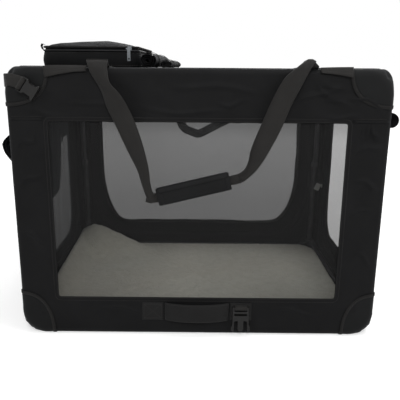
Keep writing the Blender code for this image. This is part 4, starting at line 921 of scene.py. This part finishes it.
def roof_rolls():
    """The roof door, rolled up beside the bag: its cloth, its mesh and their ties."""
    ties, half = bmesh.new(), 0.205
    for name, x, size, turns, look, node, slot in (
            ("roof_cover_roll", -0.0975, (0.0345, 0.0295), 3.3, ROLL, "rolled_roof_cover", "polyester"),
            ("roof_net_roll", -0.0640, (0.0265, 0.0165), 2.6, ROLLED_NET, "rolled_roof_mesh", "mesh")):
        at = Vector((x - size[0] / 2, -0.0075, HEIGHT - 0.0012 + size[1]))
        made, width = cloth_roll(name, at, AXIS_Y, AXIS_X, half, size, turns, 4.0 + x * 10, look,
                                 flat_under=HEIGHT + 0.0008)
        dress(made, "top_frame", None, [node])
        for y in (-0.118, 0.102):
            tie(ties, at + AXIS_Y * y, AXIS_X, size, AXIS_Y, share=1.05)
    add_piece("roof_roll_ties", ties, WEBBING, "top_frame")


# Storage bag.

BAG_LEFT, BAG_RIGHT, BAG_FRONT, BAG_REAR = -0.302, -0.122, -0.165, 0.125
BAG_CORNER = 0.018
BAG_HALF = (BAG_RIGHT - BAG_LEFT) / 2
BAG_MIDDLE = Vector(((BAG_LEFT + BAG_RIGHT) / 2, -0.02, 0))
BAG_LOW = HEIGHT + SEAT
BAG_TALL = 0.036
BAG_RIM = BAG_LOW + BAG_TALL
LID_RISE = 0.0155
POUCH_HEIGHTS = (0.0, 0.05, 0.16, 0.32, 0.50, 0.68, 0.84, 0.95, 1.0)
LID_INSETS = (0.0, 0.010, 0.030, 0.060, 0.10, 0.16, 0.24, 0.34, 0.46, 0.60, 0.75, 0.90)


def bag_loop(inset, z, wander=0.0, seed=2.0):
    """A level line round the bag at an inset from its outline."""
    left, right, front, rear = BAG_LEFT + inset, BAG_RIGHT - inset, BAG_FRONT + inset, BAG_REAR - inset
    corner = BAG_CORNER - inset if inset <= 0 else min(BAG_CORNER + inset * 0.5, (BAG_HALF - inset) * 0.9)
    arcs = []
    for quarter, (x, y) in enumerate(((right - corner, rear - corner), (left + corner, rear - corner),
                                      (left + corner, front + corner), (right - corner, front + corner))):
        angles = [pi / 2 * (quarter + k / 8) for k in range(9)]
        arcs.append([Vector((x + corner * cos(angle), y + corner * sin(angle), z)) for angle in angles])
    points = []
    for arc, following in zip(arcs, arcs[1:] + arcs[:1]):
        points += arc + [arc[-1].lerp(following[0], k / 20) for k in range(1, 20)]
    middle = Vector(((left + right) / 2, (front + rear) / 2, z))
    return [p + (p - middle).normalized() * (wander * rumple(p, 0.045, seed)) for p in points]


def bag_outs(ring):
    """The directions out of the bag round a level line."""
    return [Vector(((p.x - BAG_MIDDLE.x) * 1.6, p.y - BAG_MIDDLE.y, 0)).normalized() for p in ring]


def bag_pouch():
    """The bag's bulging sides and its bottom."""
    rows = []
    for share in POUCH_HEIGHTS:
        inset = -0.0030 * (1 - share) - 0.0034 * sin(pi * share) ** 0.8
        rows.append(bag_loop(inset, BAG_LOW + 0.0004 + 0.0352 * share, 0.0030 * sin(pi * share)))
    bm = bmesh.new()
    verts = loft(bm, rows, lambda i, j: (j * 0.0085, POUCH_HEIGHTS[i] * BAG_TALL))
    bm.faces.new(verts[0])
    made = add_piece("bag_pouch", bm, BAG, "top_frame", None, ["storage_bag"],
                     BAG_MIDDLE + UP * (BAG_LOW + BAG_TALL / 2), 0.0011)


def bag_lid():
    """The bag's lid, stuffed a little higher at its front left."""
    rows = []
    for share in LID_INSETS:
        rise = 1 - (1 - share) ** 2.1
        loop = bag_loop(0.090 * share, BAG_RIM + 0.0006 + LID_RISE * rise, 0.0012 * (1 - share), 3.0)
        for p in loop:
            p.z += 0.0022 * ease(share / 0.2) * rumple(p, 0.035, 9.0) + 0.0025 * ease(share / 0.3) * rumple(p, 0.1, 1.0)
            p.z += 0.0030 * ease((-p.x - 0.20) / 0.1) * ease((-p.y - 0.02) / 0.12) * ease(share / 0.1)
        rows.append(loop)
    bm = bmesh.new()
    verts = loft(bm, rows, lambda i, j: (j * 0.0085, LID_INSETS[i] * 0.12))
    bm.faces.new(verts[-1])
    made = add_piece("bag_lid_cloth", bm, BAG, "bag_lid", None, ["bag_lid"],
                     BAG_MIDDLE + UP * (BAG_RIM - 0.1), 0.0010)


def bag_trim():
    """The bag's piping, zip and stitching, and the tab at the zip's end."""
    piping, coil, thread, tab = (bmesh.new() for _ in range(4))
    ring = [p - UP * 0.0006 for p in bag_loop(-0.0022, BAG_RIM, 0.0012, 3.0)]
    bead(piping, ring, UP, (0.0021,), 0.0042, closed=True, corners=10)
    add_piece("bag_lid_piping", piping, BINDING, "bag_lid")
    path = spaced(bag_loop(-0.0036, BAG_RIM - 0.0050), 0.0012, True)
    bead(coil, path, bag_outs(path), BAG_TEETH, 0.0014, closed=True)
    add_piece("bag_zip_coil", coil, COIL, "top_frame")
    for inset, drop in ((-0.0038, 0.0095), (-0.0046, 0.0325)):
        ring = bag_loop(inset, BAG_RIM - drop)
        stitches(thread, ring, bag_outs(ring), closed=True)
    add_piece("bag_stitching", thread, THREAD, "top_frame")
    route = spaced([(x, -0.146, BAG_RIM + lift) for x, lift in (
        (-0.3035, -0.006), (-0.3085, -0.003), (-0.3105, 0.003), (-0.3085, 0.0075), (-0.3045, 0.006))], 0.0015)
    tape(tab, route, Vector((-0.8, 0, 0.6)).normalized(), *ZIP_TAB, sides=AXIS_Y)
    add_piece("bag_zip_end_tab", tab, BINDING, "top_frame")


# Straps, handle and their sewing.

# The shoulder strap's way: along the length, out of the front, height, half width and twist in degrees.
STRAP_ROUTE = (
    (-0.1800, 0.0040, 0.5334, 0.0190, 0), (-0.1800, 0.0042, 0.5319, 0.0190, 0),
    (-0.1790, 0.0090, 0.5270, 0.0180, 0), (-0.1765, 0.0135, 0.5150, 0.0160, 26),
    (-0.1680, 0.0150, 0.4930, 0.0150, 46), (-0.1520, 0.0150, 0.4640, 0.0185, 22),
    (-0.1320, 0.0140, 0.4220, 0.0180, 8), (-0.1150, 0.0135, 0.3770, 0.0170, 20),
    (-0.1030, 0.0130, 0.3420, 0.0150, 36), (-0.0985, 0.0130, 0.3200, 0.0125, 40),
    (-0.0955, 0.0125, 0.3065, 0.0095, 30), (-0.0925, 0.0118, 0.2955, 0.0080, 16),
    (-0.0880, 0.0108, 0.2880, 0.0080, 4), (-0.0800, 0.0100, 0.2856, 0.0090, 0),
    (0.0625, 0.0100, 0.3206, 0.0090, 0), (0.0760, 0.0110, 0.3250, 0.0090, -20),
    (0.0880, 0.0125, 0.3340, 0.0095, -40), (0.0990, 0.0135, 0.3500, 0.0120, -34),
    (0.1100, 0.0140, 0.3770, 0.0160, -14), (0.1290, 0.0145, 0.4200, 0.0180, -6),
    (0.1465, 0.0155, 0.4640, 0.0175, -6), (0.1640, 0.0160, 0.4985, 0.0165, -14),
    (0.1800, 0.0145, 0.5200, 0.0130, -18), (0.1900, 0.0090, 0.5300, 0.0110, 0),
    (0.1940, 0.0042, 0.5330, 0.0105, 0), (0.1940, 0.0040, 0.5334, 0.0105, 0),
)


def curve_through(rows, steps):
    """More rows on a smooth curve through the given ones."""
    result = []
    for i in range(len(rows) - 1):
        p0, p1, p2, p3 = rows[max(i - 1, 0)], rows[i], rows[i + 1], rows[min(i + 2, len(rows) - 1)]
        for k in range(steps):
            t = k / steps
            result.append([b + 0.5 * t * (c - a + t * (2 * a - 5 * b + 4 * c - d + t * (3 * (b - c) + d - a)))
                           for a, b, c, d in zip(p0, p1, p2, p3)])
    result.append(list(rows[-1]))
    return result


STRAP_CREST = HEIGHT + 0.0145


STRAP_THICK = 0.0015
STRAP_HALF = 0.019


def shoulder_webbing():
    """The strap's webbing: upright in the anchors, twisted below them, and cupped where it is gathered."""
    rows = curve_through(STRAP_ROUTE, 5)
    centres = [Vector((r[0], FRONT_Y - r[1], r[2])) for r in rows]
    sides, faces, halves, cups = [], [], [], []
    for i, ((x, _, z, half, twist), direction) in enumerate(zip(rows, headings(centres))):
        if min(i, len(rows) - 1 - i) < 4:
            direction = Vector((0, 0, copysign(1, direction.z)))
        flat = Matrix.Rotation(radians(twist), 3, direction) @ FORWARD.cross(direction).normalized()
        level = Vector((copysign(1, flat.x), 0, 0))
        flat = level.lerp(flat, ease((STRAP_CREST - z) / 0.060)).normalized()
        sides.append(flat)
        faces.append(direction.cross(flat).normalized())
        halves.append(half)
        hidden = ease((abs(x + 0.0093) - 0.062) / 0.02)
        cups.append(0.30 * sqrt(max(STRAP_HALF ** 2 - half ** 2, 0)) * hidden)
    bm = bmesh.new()
    tape(bm, [c - f * (STRAP_THICK / 2) for c, f in zip(centres, faces)], faces, halves, STRAP_THICK, sides=sides,
         rise=cups)
    add_piece("shoulder_webbing", bm, WEBBING, "shoulder_strap", HEIGHT, ["shoulder_strap"])


PAD_START, PAD_END = Vector((-0.0765, FRONT_Y - 0.010, 0.2865)), Vector((0.0580, FRONT_Y - 0.010, 0.3195))
PAD_UP = (PAD_END - PAD_START).normalized().cross(FORWARD)
PAD_HALF, PAD_THICK, PAD_CORNERS = 0.0170, 0.0132, 36
PAD_SHARES = (0.0, 0.012, 0.04, 0.062, 0.072, 0.085, 0.13, 0.2, 0.28, 0.36, 0.44, 0.52, 0.60, 0.68, 0.76, 0.84, 0.90,
              0.915, 0.928, 0.938, 0.96, 0.988, 1.0)


def pad_ring(share, half, thick, grow=0.0):
    """A section of the strap's pad at a share of its length."""
    at = PAD_START.lerp(PAD_END, share)
    ring = []
    for k in range(PAD_CORNERS):
        c, s = cos(2 * pi * k / PAD_CORNERS), sin(2 * pi * k / PAD_CORNERS)
        a, b = copysign(abs(c) ** 0.6, c), copysign(abs(s) ** 0.75, s)
        dent = 0.0007 * rumple((share * 9, a, b), 0.9, 4.0)
        ring.append(at + PAD_UP * ((half + grow) * a) + FORWARD * ((thick / 2 + grow + dent) * b))
    return ring


def strap_pad():
    """The pad, with a groove near each end, and the flap that closes it in front."""
    rings = []
    for share in PAD_SHARES:
        from_end = min(share, 1 - share)
        groove = abs(from_end - 0.072) < 0.004
        width = PAD_HALF * (0.93 + 0.07 * ease(from_end / 0.02)) - 0.0004 * groove
        thick = PAD_THICK * (0.80 + 0.20 * ease(from_end / 0.05)) - 0.0016 * groove
        rings.append(pad_ring(share, width, thick))
    rings += [pad_ring(share, 0.0120, 0.0040) for share in (0.997, 0.003)]
    places = [share * 0.138 for share in PAD_SHARES] + [0, 0, 0]
    bm, flap = bmesh.new(), bmesh.new()
    loft(bm, rings, lambda i, j: (j * 0.0024, places[i]), ring_path=True)
    made = add_piece("strap_pad", bm, PAD_CLOTH, "shoulder_strap", HEIGHT, ["shoulder_pad"])

    rows = []
    for k in range(25):
        share = 0.018 + 0.964 * k / 24
        ring = pad_ring(share, PAD_HALF, PAD_THICK, 0.0009)
        first = 10.5 + 1.05 * (1 - ease(min(share, 1 - share) / 0.05))
        row = []
        for j in range(13):
            index = first + (20 - first) * j / 12
            low = int(index)
            row.append(ring[low % PAD_CORNERS].lerp(ring[(low + 1) % PAD_CORNERS], index - low))
        rows.append(row)
    loft(flap, rows, lambda i, j: (j * 0.0024, i * 0.0055), around=False)
    made = add_piece("strap_pad_flap", flap, PAD_CLOTH, "shoulder_strap", HEIGHT, (),
                     PAD_START.lerp(PAD_END, 0.5), 0.0009)


def strap_anchors():
    """The two webbing tabs on the roof's front edge that hold the shoulder strap, and their sewing."""
    flat, front = HEIGHT + 0.0004, FRONT_Y + CORNER_RADIUS / 2
    bar_y, bar_z = FRONT_Y - 0.004, STRAP_CREST
    thread = bmesh.new()
    for side, x in (("left", -0.180), ("right", 0.194)):
        route = ((front + 0.045, flat), (front + 0.02, flat), (front, flat), (front - 0.0015, flat + 0.0015),
                 (bar_y + 0.008, (flat * 2 + bar_z) / 3 + 0.001), (bar_y + 0.004, bar_z - 0.001),
                 (bar_y + 0.0008, bar_z))
        centres = spaced([(x, y, z) for y, z in route], 0.003)
        faces = [AXIS_X.cross(step).normalized() for step in headings(centres)]
        faces = [f if f.z > 0 or f.y < 0 else -f for f in faces]
        gather = [ease((c.z - flat - 0.003) / 0.010) if x > 0 else 0 for c in centres]
        bm = bmesh.new()
        tape(bm, centres, faces, [STRAP_HALF - 0.0085 * g for g in gather], 0.0014, sides=AXIS_X,
             rise=[0.003 * g for g in gather])
        add_piece(side + "_anchor_webbing", bm, WEBBING, "top_frame", None, [side + "_strap_anchor"])
        near, far, top = front + 0.012, front + 0.041, flat + 0.0014
        box_stitch(thread, [(x - 0.015, near, top), (x + 0.015, near, top), (x + 0.015, far, top),
                            (x - 0.015, far, top)], UP)
    add_piece("anchor_stitching", thread, THREAD, "top_frame")


def strap_leads():
    """The shoulder strap's ends, sewn along the roof's front edge from each anchor to the corner patch."""
    thread = bmesh.new()
    for side, way in (("left", ((-0.276, 0.512), (-0.250, 0.5155), (-0.222, 0.519), (-0.201, 0.5195))),
                      ("right", ((0.215, 0.5195), (0.232, 0.5190), (0.250, 0.5175), (0.272, 0.5150)))):
        route = flat_route(way, step=0.003)
        centres, outs = on_face(front_point, route, 0.0016)
        start, long = way[0 if side == "left" else -1][0], abs(way[-1][0] - way[0][0])
        bm = bmesh.new()
        tape(bm, centres, outs, [0.0105 - 0.0040 * abs(u - start) / long for u, _ in route], 0.0013)
        add_piece(side + "_strap_lead", bm, WEBBING, "top_frame", HEIGHT)
        stitches(thread, [c + o * 0.0014 for c, o in zip(centres, outs)], outs)
    add_piece("strap_lead_stitching", thread, THREAD, "top_frame", HEIGHT)


HANDLE_LEFT, HANDLE_RIGHT, HANDLE_LOW, HANDLE_HIGH = -0.0650, 0.0605, 0.032, 0.070
HANDLE_PATCH, HANDLE_STEPS, HANDLE_SEAM = 0.043, 40, 0.0168


def carry_handle():
    """The handle, bowed out of the front, and the two squares of webbing that hold it."""
    middle, half_length = (HANDLE_LEFT + HANDLE_RIGHT) / 2, (HANDLE_RIGHT - HANDLE_LEFT) / 2
    z, lift = (HANDLE_LOW + HANDLE_HIGH) / 2, HANDLE_TAPE[1] / 2
    centres = [Vector((middle + half_length * share, FRONT_Y - 0.0018 - 0.012 * (1 - share * share) ** 0.75, z))
               for share in (2 * i / HANDLE_STEPS - 1 for i in range(HANDLE_STEPS + 1))]
    faces = [step.cross(UP).normalized() for step in headings(centres)]
    bm, thread, sewing = bmesh.new(), bmesh.new(), bmesh.new()
    tape(bm, [c - f * lift for c, f in zip(centres, faces)], faces, *HANDLE_TAPE, sides=UP)
    add_piece("carry_handle_webbing", bm, HANDLE_WEBBING, "carry_handle", None, ["carry_handle"])
    for offset in (-HANDLE_SEAM, HANDLE_SEAM):
        stitches(thread, [c + f * lift + UP * offset for c, f in zip(centres, faces)], faces)
    add_piece("carry_handle_stitching", thread, THREAD, "carry_handle")

    for side, start in (("left", HANDLE_LEFT - 0.003 - HANDLE_PATCH), ("right", HANDLE_RIGHT + 0.003)):
        node, end, y = side + "_handle_patch", start + HANDLE_PATCH, FRONT_Y - 0.0015
        bm = bmesh.new()
        tape(bm, spaced([(start, FRONT_Y - SEAT, z), (end, FRONT_Y - SEAT, z)], 0.004), FORWARD, *HANDLE_PATCH_TAPE,
             sides=UP)
        add_piece(node + "_webbing", bm, HANDLE_WEBBING, "base", None, [node])
        near, far, low, high = start + 0.004, end - 0.004, HANDLE_LOW + 0.004, HANDLE_HIGH - 0.004
        box_stitch(sewing, [(near, y, low), (far, y, low), (far, y, high), (near, y, high)], FORWARD)
    add_piece("handle_patch_stitching", sewing, THREAD, "base")


MALE_X, MALE_BAR_OUT, MALE_BAR_HEIGHT = 0.0850, 0.0078, 0.0620
FEMALE_BAR = Vector((-0.3150, FRONT_Y - 0.0096, 0.4915))
FEMALE_SLOPE = radians(-35)
WEB_LOOP_RADIUS = 0.0041
WEB_BACK = 0.0026


def male_webbing():
    """The loop that holds the buckle's prongs: up the front, round the bar and over it."""
    r, bar = WEB_LOOP_RADIUS, MALE_BAR_OUT
    route = ((0.017, WEB_BACK), (0.006, WEB_BACK), (-r / 2, WEB_BACK + 0.0001), (-r * 0.9, (bar + WEB_BACK) / 2),
             (-r, bar), (-r * 0.72, bar + r * 0.72), (0, bar + r), (r * 0.72, bar + r * 0.85))
    centres = spaced([(MALE_X, FRONT_Y - out, MALE_BAR_HEIGHT - down) for down, out in route], 0.0012)
    faces = [AXIS_X.cross(step).normalized() for step in headings(centres)]
    bm = bmesh.new()
    tape(bm, [c - f * (BUCKLE_TAPE[1] / 2) for c, f in zip(centres, faces)], faces, *BUCKLE_TAPE, sides=AXIS_X)
    add_piece("buckle_webbing", bm, WEBBING, "base", None, ["buckle_strap"])


def female_webbing():
    """The loop that holds the buckle's socket: from the left side round the corner, then round the bar."""
    along = Vector((cos(FEMALE_SLOPE), 0, sin(FEMALE_SLOPE)))
    side = FORWARD.cross(along)
    route = ((-0.350, -0.195, 0.4965), (-0.350, -0.225, 0.4965), (-0.350, -0.240, 0.4965), (-0.350, -0.250, 0.4965),
             (-0.350, -0.260, 0.4965), (-0.343, -0.260, 0.4970), (-0.334, -0.260, 0.4975))
    rows = [(*on_cover(p, -0.0036 if i else -0.00105), *cover_normal(p)) for i, p in enumerate(route)]
    split, steps = len(rows), 4
    for angle in (205, 150, 110, 70, 30, 0):
        spot = FEMALE_BAR + (along * cos(radians(angle)) + FORWARD * sin(radians(angle))) * WEB_LOOP_RADIUS
        rows.append((*spot, *FORWARD))
    fine = curve_through(rows, steps)
    centres = [Vector(row[:3]) for row in fine]
    sides, faces = [], []
    for i, (row, step) in enumerate(zip(fine, headings(centres))):
        across = Vector(row[3:]).normalized().cross(step).normalized()
        sides.append(across.lerp(side, ease((i / steps - split + 3) / 3)).normalized())
        faces.append(step.cross(sides[-1]).normalized())
    bm = bmesh.new()
    tape(bm, [c - f * (BUCKLE_TAPE[1] / 2) for c, f in zip(centres, faces)], faces, *BUCKLE_TAPE, sides=sides)
    add_piece("corner_buckle_webbing", bm, WEBBING, "top_frame", None, ["corner_buckle_strap"])


# The mat.

MAT_HALF = (LENGTH / 2 - 0.0196, DEPTH / 2 - 0.0196)
MAT_HUMP = ((0.0, 0.055), (0.016, 0.068), (0.036, 0.075), (0.061, 0.071), (0.083, 0.060), (0.116, 0.045),
            (0.144, 0.031), (0.200, 0.0))


def mat_rise(u, v):
    """How far the mat's left end is raised: a climb to the wall, and a hump near the rear corner."""
    half_u, half_v = MAT_HALF
    from_left, from_rear = half_u + u, half_v - v
    inside = ease((half_v - abs(v) - 0.0354) / 0.030)
    climb = (0.030 + 0.038 * (half_v + v) / (2 * half_v)) * (1 - ease(from_left / 0.065))
    hump = between(MAT_HUMP, max(from_left, 0)) * (1 - ease(abs(from_rear - 0.065) / 0.110))
    soft = 0.014
    top = max(climb, hump)
    return inside * (top + 0.25 * max(soft - abs(climb - hump), 0) ** 2 / soft)


# Dents of the mat: one end, the other end, their height and their half width.
MAT_CREASES = (
    ((0.190, 0.060), (0.322, -0.070), -0.0022, 0.022), ((0.235, 0.110), (0.300, 0.020), 0.0014, 0.020),
    ((-0.120, 0.030), (0.110, 0.070), -0.0010, 0.018), ((0.020, -0.070), (0.210, -0.110), -0.0010, 0.020),
    ((-0.180, -0.120), (-0.060, -0.060), -0.0012, 0.018), ((0.100, 0.120), (0.190, 0.180), 0.0012, 0.020),
)


MAT_LOW, MAT_HIGH, MAT_CORNER = 0.0023, 0.0213, 0.050
# The mat's side: how far in it is, and at what share of the height.
MAT_SIDE = ((0.0060, 0.0), (0.0024, 0.12), (0.0006, 0.32), (0.0, 0.52), (0.0010, 0.74), (0.0034, 0.91), (0.0070, 0.985))


def fleece_mat():
    """The mat: rings from its lower edge over its rounded side to its middle, with the pile drawn in."""
    half_u, half_v = MAT_HALF
    insets = [*MAT_SIDE, *((MAT_SIDE[-1][0] + 0.0072 * k, 1.0) for k in range(1, 22))]
    loops = []
    for inset, share in insets:
        corner = max(MAT_CORNER - inset, 0.006)
        edges = (-half_u + inset, half_u - inset, -half_v + inset, half_v - inset)
        shape = outline(edges, (corner, corner), counts=MAT_COUNTS)
        loops.append([(u, v, share) for u, v in shape])
    last = loops[-1]
    loops += [[(u * (1 - k / 11.3), v * (1 - k / 11.3), 1.0) for u, v, _ in last] for k in range(1, 12)]
    rings = []
    for loop in loops:
        ring = []
        for u, v, share in loop:
            z = MAT_LOW + (MAT_HIGH - MAT_LOW + mat_rise(u, v)) * share
            pile = 0.0016 * rumple((u, v, z), 0.0080, 1.0) + 0.0011 * rumple((u, v, z), 0.0042, 2.0)
            wave = 0.0022 * rumple((u, v, 0), 0.085, 6.0) - 0.0012
            z += share * (pile + wave * ease((half_v - abs(v)) / 0.05) + creased(u, v, MAT_CREASES))
            edge = 1 - 0.0045 * (1 + rumple((u, v, z), 0.006, 5.0)) * (share < 1)
            ring.append(Vector((u * edge, v * edge, max(z, MAT_LOW))))
        rings.append(ring)
    bm, verts = loft_loops(loops, rings)
    bm.faces.new(verts[-1])
    bm.faces.new(verts[0][::-1])
    made = add_piece("fleece_pad", bm, FLEECE, "base", None, ["fleece_mat"])


# Fittings of metal and plastic.

DOOR_SLIDERS = ("rear_zip_slider", "left_zip_slider", "right_zip_slider")
FITTINGS = {"connector": HUB_NYLON, "buckle": NYLON, "slider": ZINC, "tube": STEEL, "leg": STEEL}
FITTING_EDGE, BUCKLE_EDGE = 0.0004, 0.0007


def fittings():
    """New finishes for the solids that stay, with softened edges. A door's slider is replaced by a copy that rides on
    the slider's body.
    """
    for name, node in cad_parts.items():
        kind = next((k for k in FITTINGS if name.endswith(k)), None)
        if kind is None:
            continue
        made = node
        if name in DOOR_SLIDERS:
            made = node.copy()
            made.data = node.data.copy()
            made.name = name.replace("slider", "runner")
            bpy.context.collection.objects.link(made)
        made.data.materials.clear()
        made.data.materials.append(FITTINGS[kind])
        weld = made.modifiers.new("weld", "WELD")
        weld.merge_threshold = 0.00001
        edge = made.modifiers.new("soft_edges", "BEVEL")
        edge.width = BUCKLE_EDGE if kind == "buckle" else FITTING_EDGE
        edge.segments = 2
        edge.limit_method = "ANGLE"
        edge.angle_limit = radians(40)
        if made is not node:
            bpy.ops.object.select_all(action="DESELECT")
            bpy.context.view_layer.objects.active = made
            for modifier in ("weld", "soft_edges"):
                bpy.ops.object.modifier_apply(modifier=modifier)
            dress(made, name, HEIGHT, [name])


def inner_pull():
    """The pull inside the right door's slider: a short bridge, and a tab that hangs into the crate, its zinc shine
    painted on as a flat light grey colour.
    """
    at, out = Vector((LENGTH / 2 - 0.0042, 0.226, 0.199)), Vector((-1, 0, 0))
    side = out.cross(Vector((0, 0, 1)))
    bpy.ops.object.select_all(action="DESELECT")
    bpy.ops.mesh.primitive_cube_add(size=1, location=(0, 0, 0))
    pull = bpy.context.object
    pull.name = "right_inner_pull"
    bpy.ops.object.mode_set(mode="EDIT")
    bpy.ops.transform.resize(value=(0.0075, 0.0024, 0.0100))
    bpy.ops.mesh.bevel(offset=0.0008, segments=2, affect="EDGES")
    bpy.ops.mesh.select_all(action="DESELECT")
    bpy.ops.mesh.primitive_cube_add(size=1, location=(0, 0.0095, -0.0065))
    bpy.ops.transform.resize(value=(0.0016, 0.0145, 0.0200))
    bpy.ops.mesh.bevel(offset=0.0006, segments=2, affect="EDGES")
    bpy.ops.transform.rotate(value=radians(-24), orient_axis="X", center_override=(0, 0.0025, 0))
    bpy.ops.object.mode_set(mode="OBJECT")
    pull.data.transform(Matrix((side, out, Vector((0, 0, 1)))).transposed().to_4x4())
    pull.data.transform(Matrix.Translation(at))
    pull.data.materials.append(PULL_PAINTED_SHINE)
    dress(pull, "right_zip_slider", HEIGHT)


# Floor, light and camera.

WHITE = (1, 1, 1, 1)
# The floor's glow under the crate and far from it, and the distances between which it changes.
FLOOR_GLOW, FLOOR_FADE = (0.34, 0.72), (0.7, 3.0)
WORLD_LIGHT = 0.46
# Each lamp: its name, its place, its size and its power. All of them aim at the crate's middle.
LAMPS = (("key", (0.1, -2.5, 2.1), 0.9, 46), ("fill", (2.3, -1.6, 1.4), 1.4, 19), ("side", (-2.2, -1.5, 1.5), 0.8, 12),
         ("top", (0.75, -0.1, 2.75), 1.6, 28), ("back", (0.2, 2.6, 1.7), 2.0, 24))
AIM = Vector((0, 0, 0.25))
LENS, CAMERA_PLACE, CAMERA_TURN = 46.5, (0.0044, -1.202, 0.5231), (pi / 2 - 0.2528, -0.008, 0.0040)


def seen_by(tree, *rays):
    """Whether any of these kinds of ray looks."""
    paths = add_node(tree, "ShaderNodeLightPath").outputs
    seen = paths[f"Is {rays[0]} Ray"]
    for ray in rays[1:]:
        seen = maths(tree, "MAXIMUM", seen, paths[f"Is {ray} Ray"])
    return seen


def studio():
    """A floor and a world that look white but light the crate softly, five lamps and the camera."""
    bpy.ops.object.select_all(action="DESELECT")
    bpy.ops.mesh.primitive_plane_add(size=12, location=(0, 0, -0.0004))
    floor = bpy.context.object
    floor.name = "floor"
    look = Look("pale_floor", (0.80, 0.80, 0.80), 0.9, Specular_IOR_Level=0.0, Emission_Color=WHITE)
    away = add_node(look.tree, "ShaderNodeVectorMath", {0: look.coords.outputs["Object"]}, operation="LENGTH")
    glow = ranged(look.tree, away.outputs["Value"], *FLOOR_GLOW, *FLOOR_FADE)
    look.set({"Emission Strength": maths(look.tree, "MULTIPLY", seen_by(look.tree, "Camera", "Glossy"), glow)})
    floor.data.materials.append(look.material)

    world = bpy.data.worlds.new("studio")
    bpy.context.scene.world = world
    world.use_nodes = True
    tree = world.node_tree
    strength = ranged(tree, seen_by(tree, "Camera", "Glossy", "Transmission"), WORLD_LIGHT, 1.0)
    fill(tree, tree.nodes["Background"], {"Color": WHITE, "Strength": strength})

    for name, place, size, power in LAMPS:
        lamp = bpy.data.lights.new(name, "AREA")
        lamp.size = size
        lamp.energy = power
        made = bpy.data.objects.new(name, lamp)
        made.location = place
        made.rotation_euler = (AIM - Vector(place)).to_track_quat("-Z", "Y").to_euler()
        bpy.context.collection.objects.link(made)

    lens = bpy.data.cameras.new("camera")
    lens.lens = LENS
    lens.sensor_width = 36
    lens.clip_start = 0.05
    camera = bpy.data.objects.new("camera", lens)
    camera.location = CAMERA_PLACE
    camera.rotation_euler = CAMERA_TURN
    bpy.context.collection.objects.link(camera)
    bpy.context.scene.camera = camera
    bpy.context.scene.view_settings.view_transform = "Standard"


def main():
    """Sets up the studio and makes every piece."""
    studio()
    fittings()
    front_panel()
    for door in DOORS:
        wall_panel(door)
    roof_and_base()
    net("front_net", front_point, FRONT_WINDOW, FRONT_CORNER, "", "front_window_mesh", "base", 0, FRONT_NET)
    front_trim()
    corner_patches()
    for door in DOORS:
        mesh_door(door)
    rolled_covers()
    rear_tie_loop()
    left_cover_droop()
    roof_rolls()
    bag_pouch()
    bag_lid()
    bag_trim()
    shoulder_webbing()
    strap_pad()
    strap_anchors()
    strap_leads()
    carry_handle()
    male_webbing()
    female_webbing()
    fleece_mat()
    inner_pull()


main()
